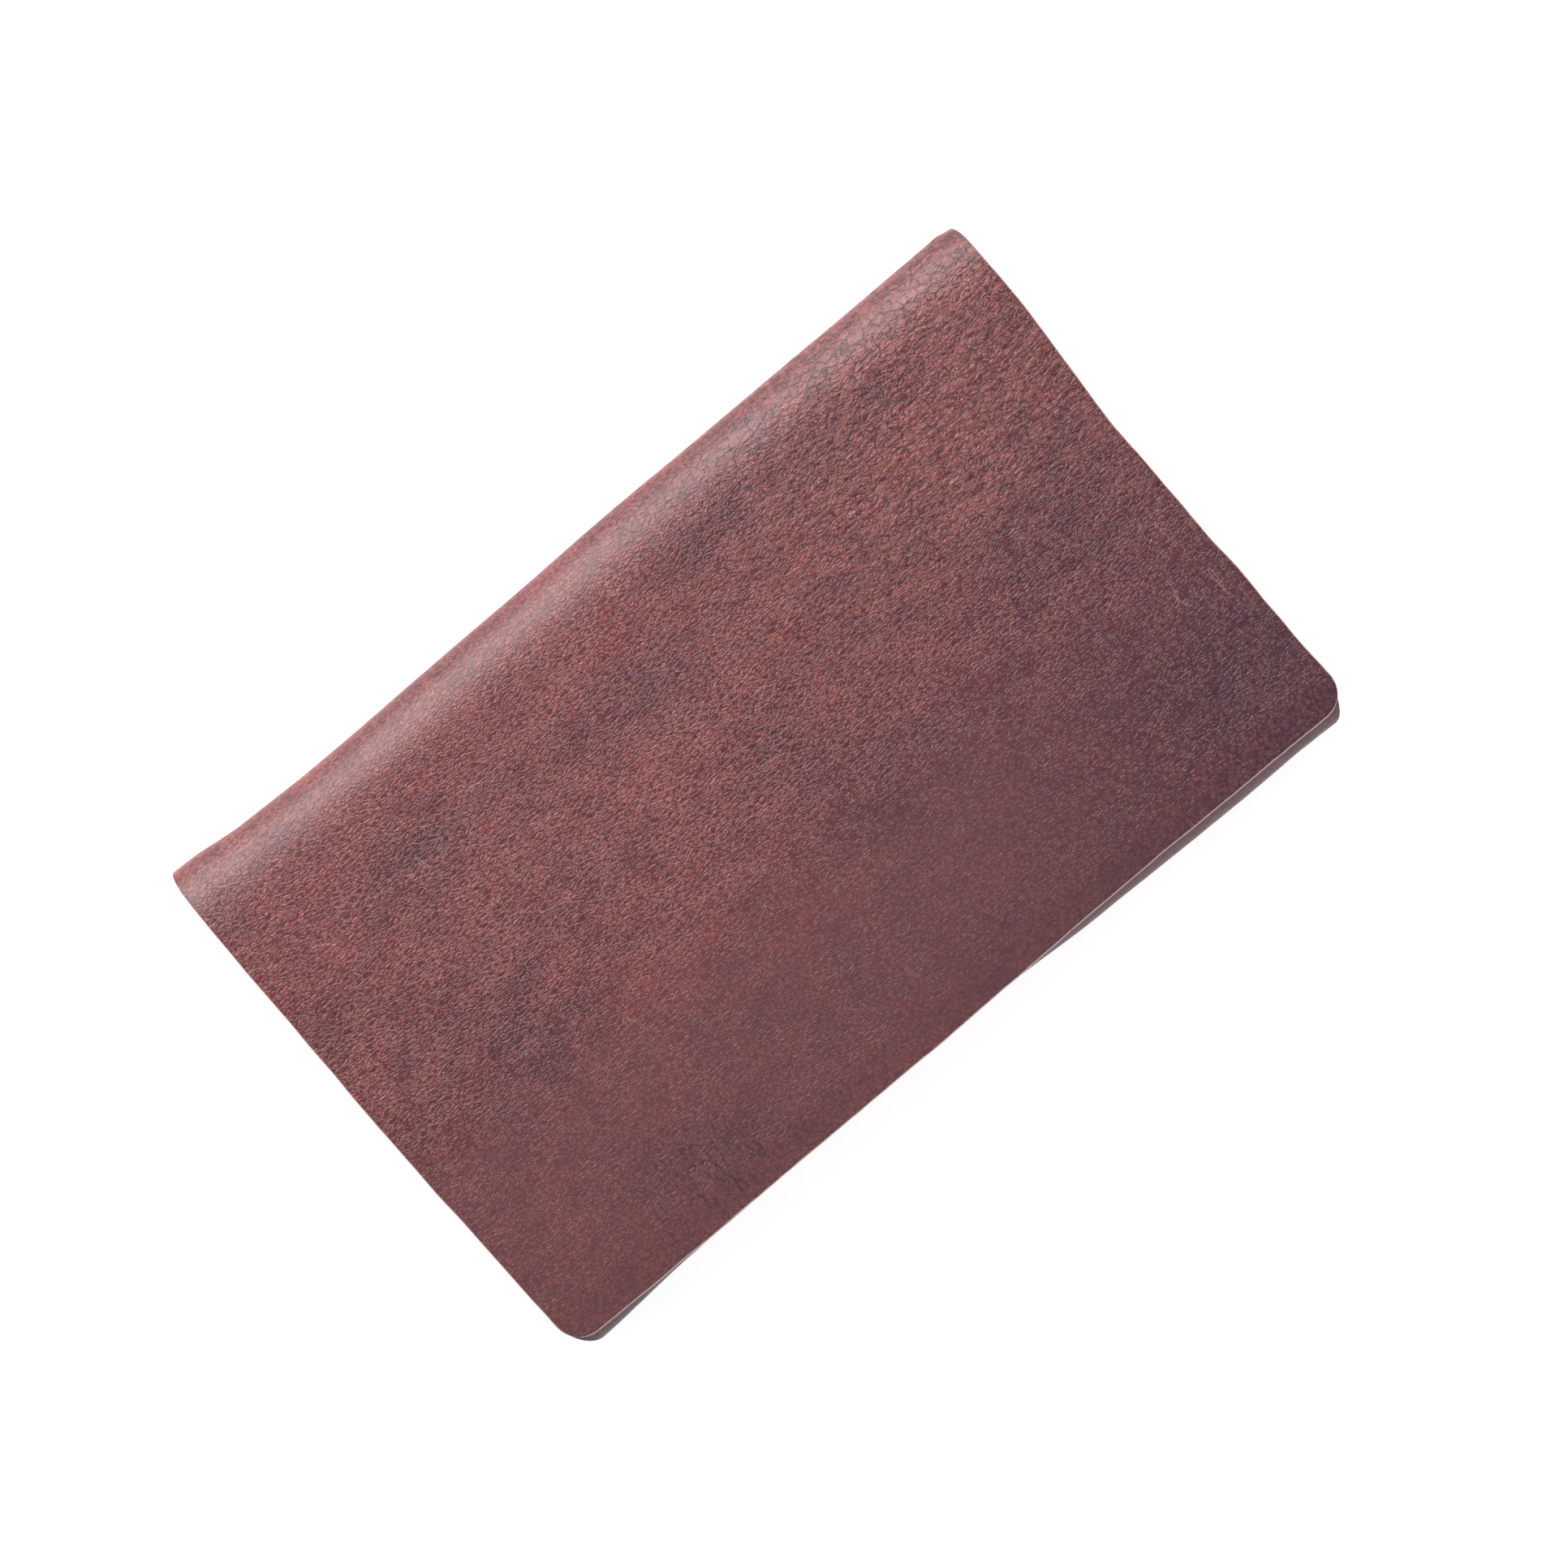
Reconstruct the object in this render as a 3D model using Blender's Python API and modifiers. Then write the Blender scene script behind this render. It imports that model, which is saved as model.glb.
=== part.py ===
"""Trifold wallet, closed and lying on its back panel.

Units are metres. +X runs along the folds, +Y from the bottom fold to the top fold, and +Z up
through the flap. The origin is the middle of the face that the wallet lies on.

The shell is one skin of leather: the back panel, a fold at the top that carries the flap over the
whole wallet, and a fold at the bottom that carries the tucked front panel. A zipped pocket, with
card slots on its wall, is sewn to the back panel, and an open pocket to the front panel.
"""

import math

import bmesh
import bpy
from mathutils import Matrix, Vector

# Overall sizes
LENGTH = 0.190  # along the folds
HEIGHT = 0.116  # from the crest of the bottom fold to the crest of the top fold

# Materials' thicknesses
SHELL = 0.0014  # leather of the shell
WALL = 0.0009  # leather of the pocket walls
SLOT = 0.0006  # leather of a card slot
TAPE = 0.0004  # woven zip tape
THREAD = 0.0005  # sewing thread, as a diameter

# Clearances
GAP = 0.0003  # between pieces that lie on each other
FOLD_GAP = 0.0006  # between a fold and the panel beside it, so that the fold can turn
FRONT_ROOM = 0.0005  # inside the front panel's pocket
PANEL_MARGIN = 0.0015  # from the shell's short edges to the pocket walls
FOLD_MARGIN = 0.0025  # from the end of a fold's curve to the pocket walls
SEAM_INSET = 0.0013  # from the edge of a pocket wall to its seam

# Shell
FLAP_SHORT = 0.002  # how far the flap's free edge stops short of the bottom fold's crest
FLAP_CORNER = 0.008  # radius of the flap's two free corners
FRONT_SHORT = 0.002  # how far the tucked panel's edge stops short of the middle of the wallet
FRONT_CORNER = 0.006
FRONT_MOUTH = 0.006  # from the tucked panel's free edge to the mouth of its pocket
WALL_CORNER = 0.003  # radius of the pocket walls' sewn corners
MOUTH_CORNER = 0.001  # radius at the ends of the front pocket's mouth
MOUTH_INSET = 0.001  # how far short of the mouth its seam stops
FOLD_STEPS = 24

# Card slots, stepped so that each card shows above the slot in front of it
CARD_HEIGHT = 0.054
CARD_SHOW = 0.004  # how much of a card stands above its slot
SLOT_ROWS = 3
SLOT_WAIST = 0.005  # how much narrower the hidden tail of a slot is, on each side
SLOT_HEAD = 0.020  # height of a slot's full-width head
SLOT_CORNER = 0.0015
COLUMN_GAP = 0.0024  # between the left and right banks of slots

# Zip
ZIP_DROP = 0.012  # from the top fold's end to the zip's centre line
ZIP_END = 0.021  # from the shell's short edges to the end of the row of teeth
TAPE_WIDTH = 0.0066
TAPE_END = 0.008  # how far the tape runs on past the teeth
TOOTH_PITCH = 0.002
TOOTH_THICK = 0.0012
TOOTH_TIP = 0.0006  # from the centre line to the tips of the teeth
TOOTH_ROOT = 0.0012  # from the centre line to the roots of the teeth
TOOTH_BACK = 0.0016  # from the centre line to the back of the row
WINDOW = 0.0035  # half the width of the window that the zip shows through
WINDOW_END = 0.004  # how far the window runs on past the teeth
WINDOW_CORNER = 0.001
ZIP_SEAM = 0.0050  # from the centre line to the seam round the zip
ZIP_SEAM_END = 0.002  # how far that seam runs on past the tapes
STOP_LENGTH = 0.0018
STOP_CORNER = 0.0003

# Slider and pull
SLIDER_LENGTH = 0.008
SLIDER_HALF = 0.0027  # half the slider's width
SLIDER_PLATE = 0.0006
SLIDER_LIP = 0.0003  # depth of the lips along the plates' edges
SLIDER_POST = 0.0003  # half the width of the post between the rows of teeth
SLIDER_PARK = 0.006  # from the end of the teeth to the middle of the parked slider
BRIDGE_HALF = 0.0027  # half the length of the bridge that holds the pull
BRIDGE_WIDE = 0.0012
BRIDGE_BAR = 0.0005
BRIDGE_CORNER = 0.0006
PULL_THICK = 0.0005
PULL_LENGTH = 0.0165
PULL_WIDE = 0.0048
PULL_CORNER = 0.0014
PULL_EYE = 0.0030  # length of the eye that takes the bridge's post
PULL_RIM = 0.0011  # metal round the eye
EYE_CORNER = 0.0006

# Levels, upwards from the surface that the wallet lies on
POCKET_ROOM = SLIDER_PLATE + TOOTH_THICK / 2 + TAPE / 2 + 3 * GAP
WALL_Z = SHELL + POCKET_ROOM
TAPE_Z = WALL_Z - GAP - TAPE
TEETH_Z = TAPE_Z + TAPE / 2 - TOOTH_THICK / 2
SLOT_Z = WALL_Z + WALL + GAP
STACK_Z = SLOT_Z + SLOT_ROWS * SLOT + (SLOT_ROWS - 1) * GAP
FRONT_WALL_Z = STACK_Z + 2 * GAP + THREAD
FRONT_Z = FRONT_WALL_Z + WALL + FRONT_ROOM
FLAP_Z = FRONT_Z + SHELL + GAP
TOP_Z = FLAP_Z + SHELL

# Folds, as half circles of the leather's middle surface
TOP_RADIUS = (TOP_Z - SHELL) / 2
TOP_CENTRE = Vector((0, HEIGHT / 2 - TOP_Z / 2, TOP_Z / 2))
BOTTOM_RADIUS = FRONT_Z / 2
BOTTOM_CENTRE = Vector((0, BOTTOM_RADIUS + SHELL / 2 - HEIGHT / 2, BOTTOM_RADIUS + SHELL / 2))

# Places in the plane of the panels
HALF = LENGTH / 2
FLAP_EDGE = FLAP_SHORT - HEIGHT / 2
FRONT_EDGE = -FRONT_SHORT
WALL_HALF = HALF - PANEL_MARGIN
WALL_LOW = BOTTOM_CENTRE.y + FOLD_MARGIN
WALL_HIGH = TOP_CENTRE.y - FOLD_MARGIN
SEAM_HALF = WALL_HALF - SEAM_INSET
COLUMN_OUT = SEAM_HALF - THREAD - 3 * GAP
COLUMN_IN = COLUMN_GAP / 2
COLUMN_LOW = WALL_LOW + SEAM_INSET + THREAD / 2 + GAP
ZIP_Y = TOP_CENTRE.y - ZIP_DROP
TEETH_HALF = HALF - ZIP_END
SLOT_TOP_LAST = COLUMN_LOW + CARD_HEIGHT - CARD_SHOW
SLOT_TOP_FIRST = ZIP_Y - ZIP_SEAM - THREAD / 2 - 3 * GAP
SLOT_STEP = (SLOT_TOP_FIRST - SLOT_TOP_LAST) / (SLOT_ROWS - 1)
SLIDER_X = TEETH_HALF - SLIDER_PARK
SLIDER_HIGH = TEETH_Z + TOOTH_THICK + GAP + SLIDER_PLATE
PULL_Z = SLIDER_HIGH + GAP
BRIDGE_Z = PULL_Z + PULL_THICK + GAP

# Which way a flat outline's own X, Y and Z point once it is stood up
ALONG_X = Matrix(((0, 0, 1), (1, 0, 0), (0, 1, 0))).to_4x4()
ALONG_Y = Matrix(((1, 0, 0), (0, 0, -1), (0, 1, 0))).to_4x4()

PARTS = "trifold_wallet"
CUTTERS = "cutters"


def clear_scene():
    """Empty the file, so that each run starts from nothing."""
    for item in list(bpy.data.objects):
        bpy.data.objects.remove(item)
    for name in (PARTS, CUTTERS):
        if name in bpy.data.collections:
            bpy.data.collections.remove(bpy.data.collections[name])
        bpy.context.scene.collection.children.link(bpy.data.collections.new(name))


def make_material(name, colour, roughness, metallic=0.0):
    """A plain Principled finish."""
    made = bpy.data.materials.new(name)
    made.use_nodes = True
    shader = made.node_tree.nodes["Principled BSDF"]
    shader.inputs["Base Color"].default_value = (*colour, 1)
    shader.inputs["Roughness"].default_value = roughness
    shader.inputs["Metallic"].default_value = metallic
    return made


def add_object(name, data, material, place=Matrix()):
    """Put a mesh or a curve in the parts' collection."""
    made = bpy.data.objects.new(name, data)
    made.matrix_world = place
    data.materials.append(material)
    bpy.data.collections[PARTS].objects.link(made)
    return made


def round_corner(before, corner, after, radius, steps=6):
    """The points of one corner of an outline, as an arc between its two sides."""
    if radius == 0:
        return [corner]
    back = (before - corner).normalized()
    ahead = (after - corner).normalized()
    half_angle = back.angle(ahead) / 2
    reach = radius / math.tan(half_angle)
    centre = corner + (back + ahead).normalized() * radius / math.sin(half_angle)
    first = (corner + back * reach - centre) / radius
    last = (corner + ahead * reach - centre) / radius
    return [centre + first.slerp(last, step / steps) * radius for step in range(steps + 1)]


def round_outline(corners):
    """A closed outline from (x, y, radius) corners, taken anticlockwise."""
    places = [Vector(corner[:2]) for corner in corners]
    points = []
    for index, corner in enumerate(corners):
        before = places[index - 1]
        after = places[(index + 1) % len(places)]
        points += round_corner(before, places[index], after, corner[2])
    return points


def rectangle(low, high, lower_radius=0, upper_radius=0):
    """A rectangle between two corners, with a radius for its lower and its upper corners."""
    return round_outline([
        (low[0], low[1], lower_radius),
        (high[0], low[1], lower_radius),
        (high[0], high[1], upper_radius),
        (low[0], high[1], upper_radius),
    ])


def flat_curve(name, outlines, thickness):
    """A filled flat outline with a thickness; an outline inside another is a hole."""
    curve = bpy.data.curves.new(name, "CURVE")
    curve.dimensions = "2D"
    curve.fill_mode = "BOTH"
    curve.extrude = thickness / 2
    for outline in outlines:
        spline = curve.splines.new("POLY")
        spline.points.add(len(outline) - 1)
        spline.use_cyclic_u = True
        for point, place in zip(spline.points, outline):
            point.co = (place[0], place[1], 0, 1)
    return curve


def plate(name, outlines, low, thickness, material):
    """A flat piece that lies level, with its underside at a height."""
    place = Matrix.Translation((0, 0, low + thickness / 2))
    return add_object(name, flat_curve(name, outlines, thickness), material, place)


def seam(name, corners, height, material, closed=False):
    """A run of thread through (x, y) corners, just clear of the leather below or above it."""
    curve = bpy.data.curves.new(name, "CURVE")
    curve.dimensions = "3D"
    curve.bevel_depth = THREAD / 2
    curve.bevel_resolution = 2
    curve.use_fill_caps = True
    spline = curve.splines.new("POLY")
    spline.points.add(len(corners) - 1)
    spline.use_cyclic_u = closed
    for point, corner in zip(spline.points, corners):
        point.co = (corner[0], corner[1], height, 1)
    return add_object(name, curve, material)


def as_mesh(curve_object):
    """Turn a curve object into a welded mesh object, so that a Boolean can join it."""
    evaluated = curve_object.evaluated_get(bpy.context.evaluated_depsgraph_get())
    mesh = bpy.data.meshes.new_from_object(evaluated)
    work = bmesh.new()
    work.from_mesh(mesh)
    bmesh.ops.remove_doubles(work, verts=work.verts, dist=0.00001)
    work.to_mesh(mesh)
    work.free()
    made = bpy.data.objects.new(curve_object.name + "_solid", mesh)
    made.matrix_world = curve_object.matrix_world
    name = curve_object.name
    bpy.data.objects.remove(curve_object)
    bpy.data.collections[PARTS].objects.link(made)
    made.name = name
    return made


def make_fold(name, centre, radius, outward, material):
    """A half-round strip of the shell, from the lower panel round to the upper one."""
    work = bmesh.new()
    spare = FOLD_GAP / radius
    start = centre + Vector((0, outward * math.sin(spare), -math.cos(spare))) * radius
    ends = [work.verts.new(start + Vector((side * HALF, 0, 0))) for side in (-1, 1)]
    edge = work.edges.new(ends)
    bmesh.ops.spin(
        work, geom=[*ends, edge], cent=centre, axis=(outward, 0, 0),
        angle=math.pi - 2 * spare, steps=FOLD_STEPS,
    )
    mesh = bpy.data.meshes.new(name)
    work.to_mesh(mesh)
    work.free()
    made = add_object(name, mesh, material)
    thicken = made.modifiers.new("leather", "SOLIDIFY")
    thicken.thickness = SHELL
    thicken.offset = 0
    mesh.shade_smooth()
    return made


def make_shell(leather):
    """The five stretches of the shell, by name."""
    back = rectangle((-HALF, BOTTOM_CENTRE.y), (HALF, TOP_CENTRE.y))
    flap = rectangle((-HALF, FLAP_EDGE), (HALF, TOP_CENTRE.y), lower_radius=FLAP_CORNER)
    front = rectangle((-HALF, BOTTOM_CENTRE.y), (HALF, FRONT_EDGE), upper_radius=FRONT_CORNER)
    return {
        "back": plate("back_panel", [back], 0, SHELL, leather),
        "top": make_fold("top_fold", TOP_CENTRE, TOP_RADIUS, 1, leather),
        "flap": plate("flap_panel", [flap], FLAP_Z, SHELL, leather),
        "bottom": make_fold("bottom_fold", BOTTOM_CENTRE, BOTTOM_RADIUS, -1, leather),
        "front": plate("front_panel", [front], FRONT_Z, SHELL, leather),
    }


def make_pocket_wall(leather):
    """The wall of the long pocket, with a window for the zip."""
    outside = rectangle(
        (-WALL_HALF, WALL_LOW), (WALL_HALF, WALL_HIGH), WALL_CORNER, WALL_CORNER)
    reach = TEETH_HALF + WINDOW_END
    window = rectangle(
        (-reach, ZIP_Y - WINDOW), (reach, ZIP_Y + WINDOW), WINDOW_CORNER, WINDOW_CORNER)
    return plate("pocket_wall", [outside, window], WALL_Z, WALL, leather)


def slot_outline(side, top, has_tail):
    """A card slot: a full-width head and, on a slot behind another, a narrower tail."""
    inner, outer = side * COLUMN_IN, side * COLUMN_OUT
    left, right = min(inner, outer), max(inner, outer)
    if not has_tail:
        return rectangle((left, COLUMN_LOW), (right, top), SLOT_CORNER, SLOT_CORNER)
    neck = top - SLOT_HEAD
    return round_outline([
        (left + SLOT_WAIST, COLUMN_LOW, 0),
        (right - SLOT_WAIST, COLUMN_LOW, 0),
        (right - SLOT_WAIST, neck, SLOT_CORNER),
        (right, neck, SLOT_CORNER),
        (right, top, SLOT_CORNER),
        (left, top, SLOT_CORNER),
        (left, neck, SLOT_CORNER),
        (left + SLOT_WAIST, neck, SLOT_CORNER),
    ])


def make_card_slots(leather):
    """Two banks of stepped slots, numbered from the deepest."""
    made = []
    for side, label in ((-1, "left"), (1, "right")):
        for row in range(SLOT_ROWS):
            top = SLOT_TOP_FIRST - row * SLOT_STEP
            outline = slot_outline(side, top, has_tail=row < SLOT_ROWS - 1)
            low = SLOT_Z + row * (SLOT + GAP)
            made.append(plate(f"card_slot_{label}_{row + 1}", [outline], low, SLOT, leather))
    return made


def make_front_pocket(leather):
    """The open pocket on the inside of the tucked panel."""
    outside = rectangle(
        (-WALL_HALF, WALL_LOW), (WALL_HALF, FRONT_EDGE - FRONT_MOUTH), WALL_CORNER, MOUTH_CORNER)
    return plate("front_pocket_wall", [outside], FRONT_WALL_Z, WALL, leather)


def make_tape(name, side, fabric):
    """One side's woven tape."""
    reach = TEETH_HALF + TAPE_END
    near = ZIP_Y + side * (TOOTH_BACK + GAP)
    far = near + side * TAPE_WIDTH
    outline = rectangle((-reach, min(near, far)), (reach, max(near, far)))
    return plate(name, [outline], TAPE_Z, TAPE, fabric)


def make_teeth(name, side, brass):
    """One side's teeth, as a comb that points at the zip's centre line."""
    count = round(2 * TEETH_HALF / TOOTH_PITCH)
    pitch = 2 * TEETH_HALF / count
    points = [(TEETH_HALF, TOOTH_BACK), (-TEETH_HALF, TOOTH_BACK)]
    for index in range(count):
        start = -TEETH_HALF + index * pitch
        points += [
            (start, TOOTH_ROOT),
            (start + 0.25 * pitch, TOOTH_ROOT),
            (start + 0.25 * pitch, TOOTH_TIP),
            (start + 0.75 * pitch, TOOTH_TIP),
            (start + 0.75 * pitch, TOOTH_ROOT),
        ]
    points.append((TEETH_HALF, TOOTH_ROOT))
    placed = [(x, ZIP_Y + side * y) for x, y in points]
    return plate(name, [placed], TEETH_Z, TOOTH_THICK, brass)


def make_stops(brass):
    """The metal stops at the ends of the teeth: one on each tape, and one across both."""
    start = TEETH_HALF + GAP
    end = start + STOP_LENGTH
    made = []
    for side, label in ((-1, "lower"), (1, "upper")):
        near, far = ZIP_Y + side * TOOTH_TIP, ZIP_Y + side * TOOTH_BACK
        outline = rectangle(
            (start, min(near, far)), (end, max(near, far)), STOP_CORNER, STOP_CORNER)
        made.append(plate(f"zip_top_stop_{label}", [outline], TEETH_Z, TOOTH_THICK, brass))
    across = rectangle(
        (-end, ZIP_Y - TOOTH_BACK), (-start, ZIP_Y + TOOTH_BACK), STOP_CORNER, STOP_CORNER)
    made.append(plate("zip_bottom_stop", [across], TEETH_Z, TOOTH_THICK, brass))
    return made


def slider_section():
    """Half the slider's outline across the zip, from its post out to its lips."""
    middle = TEETH_Z + TOOTH_THICK / 2
    inside = TOOTH_THICK / 2 + GAP
    outside = inside + SLIDER_PLATE
    lip = inside - SLIDER_LIP
    edge = SLIDER_HALF - 2 * GAP
    upper = [
        (SLIDER_POST, inside), (edge, inside), (edge, lip), (SLIDER_HALF, lip),
        (SLIDER_HALF, outside),
    ]
    right = [(y, middle - z) for y, z in reversed(upper)] + [(y, middle + z) for y, z in upper]
    left = [(-y, z) for y, z in reversed(right)]
    return [(ZIP_Y + y, z) for y, z in right + left]


def make_slider(brass):
    """The slider: two lipped plates joined by a post, and a bridge that holds the pull."""
    place = Matrix.Translation((SLIDER_X, 0, 0)) @ ALONG_X
    curve = flat_curve("zip_slider", [slider_section()], SLIDER_LENGTH)
    body = as_mesh(add_object("zip_slider", curve, brass, place))

    sunk = SLIDER_HIGH - SLIDER_PLATE / 2
    outer = rectangle((-BRIDGE_HALF, sunk), (BRIDGE_HALF, BRIDGE_Z + BRIDGE_BAR), 0, BRIDGE_CORNER)
    inner_half = BRIDGE_HALF - BRIDGE_BAR
    low = SLIDER_HIGH - SLIDER_PLATE / 4
    inner = rectangle((-inner_half, low), (inner_half, BRIDGE_Z), 0, BRIDGE_CORNER / 2)
    place = Matrix.Translation((SLIDER_X, ZIP_Y, 0)) @ ALONG_Y
    curve = flat_curve("bridge", [outer, inner], BRIDGE_WIDE)
    bridge = as_mesh(add_object("bridge", curve, brass, place))
    bpy.data.collections[PARTS].objects.unlink(bridge)
    bpy.data.collections[CUTTERS].objects.link(bridge)
    bridge.hide_render = True
    bridge.display_type = "WIRE"
    join = body.modifiers.new("bridge", "BOOLEAN")
    join.operation = "UNION"
    join.solver = "EXACT"
    join.object = bridge
    return body


def make_pull(brass):
    """The pull: a tab that lies along the teeth, with an eye round the bridge's post."""
    post = SLIDER_X - BRIDGE_HALF + BRIDGE_BAR / 2
    head = post + PULL_EYE / 2 + PULL_RIM
    half = PULL_WIDE / 2
    outside = rectangle(
        (head - PULL_LENGTH, ZIP_Y - half), (head, ZIP_Y + half), PULL_CORNER, PULL_CORNER)
    eye_half = half - PULL_RIM
    eye = rectangle(
        (post - PULL_EYE / 2, ZIP_Y - eye_half), (post + PULL_EYE / 2, ZIP_Y + eye_half),
        EYE_CORNER, EYE_CORNER)
    return plate("zip_pull", [outside, eye], PULL_Z, PULL_THICK, brass)


def make_seams(thread):
    """The runs of thread on the back panel's pieces, and the one on the front panel's pocket."""
    on_wall = WALL_Z + WALL + GAP + THREAD / 2
    on_slots = STACK_Z + GAP + THREAD / 2
    under_front = FRONT_WALL_Z - GAP - THREAD / 2
    low = WALL_LOW + SEAM_INSET
    high = WALL_HIGH - SEAM_INSET
    zip_reach = TEETH_HALF + TAPE_END + ZIP_SEAM_END
    pocket = [(-SEAM_HALF, low), (SEAM_HALF, low), (SEAM_HALF, high), (-SEAM_HALF, high)]
    around_zip = [
        (-zip_reach, ZIP_Y - ZIP_SEAM), (zip_reach, ZIP_Y - ZIP_SEAM),
        (zip_reach, ZIP_Y + ZIP_SEAM), (-zip_reach, ZIP_Y + ZIP_SEAM),
    ]
    mouth = FRONT_EDGE - FRONT_MOUTH - MOUTH_INSET
    front = [(-SEAM_HALF, mouth), (-SEAM_HALF, low), (SEAM_HALF, low), (SEAM_HALF, mouth)]
    edge_x = COLUMN_OUT - SEAM_INSET
    edge_low, edge_high = COLUMN_LOW + SEAM_INSET, SLOT_TOP_LAST - SEAM_INSET
    back_seams = [
        seam("pocket_stitching", pocket, on_wall, thread, closed=True),
        seam("zip_stitching", around_zip, on_wall, thread, closed=True),
        seam("card_centre_stitching", [(0, COLUMN_LOW), (0, SLOT_TOP_FIRST)], on_wall, thread),
    ]
    for side, label in ((-1, "left"), (1, "right")):
        run = [(side * edge_x, edge_low), (side * edge_x, edge_high)]
        back_seams.append(seam(f"card_edge_stitching_{label}", run, on_slots, thread))
    return back_seams, seam("front_pocket_stitching", front, under_front, thread)


def add_axis(name, place, parent=None):
    """An empty on a joint's axis."""
    made = bpy.data.objects.new(name, None)
    bpy.data.collections[PARTS].objects.link(made)
    made.parent = parent
    made.location = place - (parent.location if parent else Vector())
    return made


def hang(pieces, axis, place):
    """Put pieces on an axis without moving them."""
    for piece in pieces:
        piece.location = piece.location - place
        piece.parent = axis


def hinge_places(centre, radius, outward):
    """A fold's two hinge lines; a quarter turn at each lays the leather out at its own length."""
    offset = radius * math.pi / 4
    lower = centre + Vector((0, outward * offset, -offset))
    return lower, lower + Vector((0, 0, 2 * offset))


def main():
    """Build the wallet and put each moving piece on its joint's axis."""
    clear_scene()
    leather = make_material("shell_leather", (0.176, 0.070, 0.064), 0.5)
    inner = make_material("pocket_leather", (0.150, 0.060, 0.050), 0.6)
    slots = make_material("slot_leather", (0.165, 0.066, 0.056), 0.58)
    fabric = make_material("zip_fabric", (0.060, 0.030, 0.026), 0.9)
    brass = make_material("zip_metal", (0.60, 0.43, 0.20), 0.35, 1.0)
    thread = make_material("sewing_thread", (0.22, 0.11, 0.08), 0.8)

    shell = make_shell(leather)
    make_pocket_wall(inner)
    make_card_slots(slots)
    front_pocket = make_front_pocket(inner)
    for side, label in ((-1, "lower"), (1, "upper")):
        make_tape(f"zip_tape_{label}", side, fabric)
        make_teeth(f"zip_teeth_{label}", side, brass)
    make_stops(brass)
    slider = make_slider(brass)
    pull = make_pull(brass)
    front_seam = make_seams(thread)[1]

    top_low, top_high = hinge_places(TOP_CENTRE, TOP_RADIUS, 1)
    bottom_low, bottom_high = hinge_places(BOTTOM_CENTRE, BOTTOM_RADIUS, -1)
    top_axis = add_axis("top_fold_axis", top_low)
    flap_axis = add_axis("flap_axis", top_high, top_axis)
    bottom_axis = add_axis("bottom_fold_axis", bottom_low)
    front_axis = add_axis("front_panel_axis", bottom_high, bottom_axis)
    zip_place = Vector((SLIDER_X, ZIP_Y, TEETH_Z))
    zip_axis = add_axis("zip_axis", zip_place)
    hang([shell["top"]], top_axis, top_low)
    hang([shell["flap"]], flap_axis, top_high)
    hang([shell["bottom"]], bottom_axis, bottom_low)
    hang([shell["front"], front_pocket, front_seam], front_axis, bottom_high)
    hang([slider, pull], zip_axis, zip_place)


main()
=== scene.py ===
"""The looks of the trifold wallet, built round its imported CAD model.

The shell is one skin of waxed leather. It is described on a flat sheet, with x along the folds and
s across them, and then bent round the back panel and the two folds, so that its grain runs on
without a break. Lengths are in metres, in the frame of the CAD model.
"""
import math

import bpy
import numpy as np
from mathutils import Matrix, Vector


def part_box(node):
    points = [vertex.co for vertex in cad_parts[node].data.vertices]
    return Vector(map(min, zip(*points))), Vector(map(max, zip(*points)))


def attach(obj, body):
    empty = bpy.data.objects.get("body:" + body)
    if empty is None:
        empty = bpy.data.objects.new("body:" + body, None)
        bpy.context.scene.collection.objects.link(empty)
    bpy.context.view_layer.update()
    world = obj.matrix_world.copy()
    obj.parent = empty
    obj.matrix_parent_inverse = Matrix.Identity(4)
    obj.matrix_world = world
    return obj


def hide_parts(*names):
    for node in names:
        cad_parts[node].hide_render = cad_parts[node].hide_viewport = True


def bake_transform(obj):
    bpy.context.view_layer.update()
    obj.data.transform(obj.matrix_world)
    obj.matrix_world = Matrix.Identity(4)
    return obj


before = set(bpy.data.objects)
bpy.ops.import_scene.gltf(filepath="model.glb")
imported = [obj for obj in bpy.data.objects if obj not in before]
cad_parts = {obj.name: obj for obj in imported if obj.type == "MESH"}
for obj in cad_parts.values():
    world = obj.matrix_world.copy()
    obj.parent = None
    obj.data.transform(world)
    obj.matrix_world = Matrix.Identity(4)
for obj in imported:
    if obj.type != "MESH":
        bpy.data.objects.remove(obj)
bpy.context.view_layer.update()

MM = 0.001

# The shell, as the CAD model has it
BACK_LOW, BACK_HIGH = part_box("back_panel")
FLAP_LOW, FLAP_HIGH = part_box("flap_panel")
FRONT_LOW, FRONT_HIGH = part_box("front_panel")
THICK = BACK_HIGH.z - BACK_LOW.z
HALF = BACK_HIGH.x
Y_TOP, Y_BOTTOM = BACK_HIGH.y, BACK_LOW.y
R_TOP = (FLAP_HIGH.z - THICK) / 2
R_BOTTOM = (FRONT_HIGH.z - THICK) / 2
ARC_TOP, ARC_BOTTOM = math.pi * R_TOP, math.pi * R_BOTTOM

# Places across the sheet
S_FLAP = Y_TOP + ARC_TOP  # where the flap leaves the top fold
S_FLAP_END = S_FLAP + Y_TOP - FLAP_LOW.y
S_FRONT = Y_BOTTOM - ARC_BOTTOM  # where the front panel leaves the bottom fold
S_FRONT_END = S_FRONT - (FRONT_HIGH.y - Y_BOTTOM)
S_TOP_CREST = Y_TOP + ARC_TOP / 2
S_BOTTOM_CREST = Y_BOTTOM - ARC_BOTTOM / 2
FOLD_REACH = 4.5 * MM  # how far the bent pieces run on past the folds, on to the panels

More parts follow.
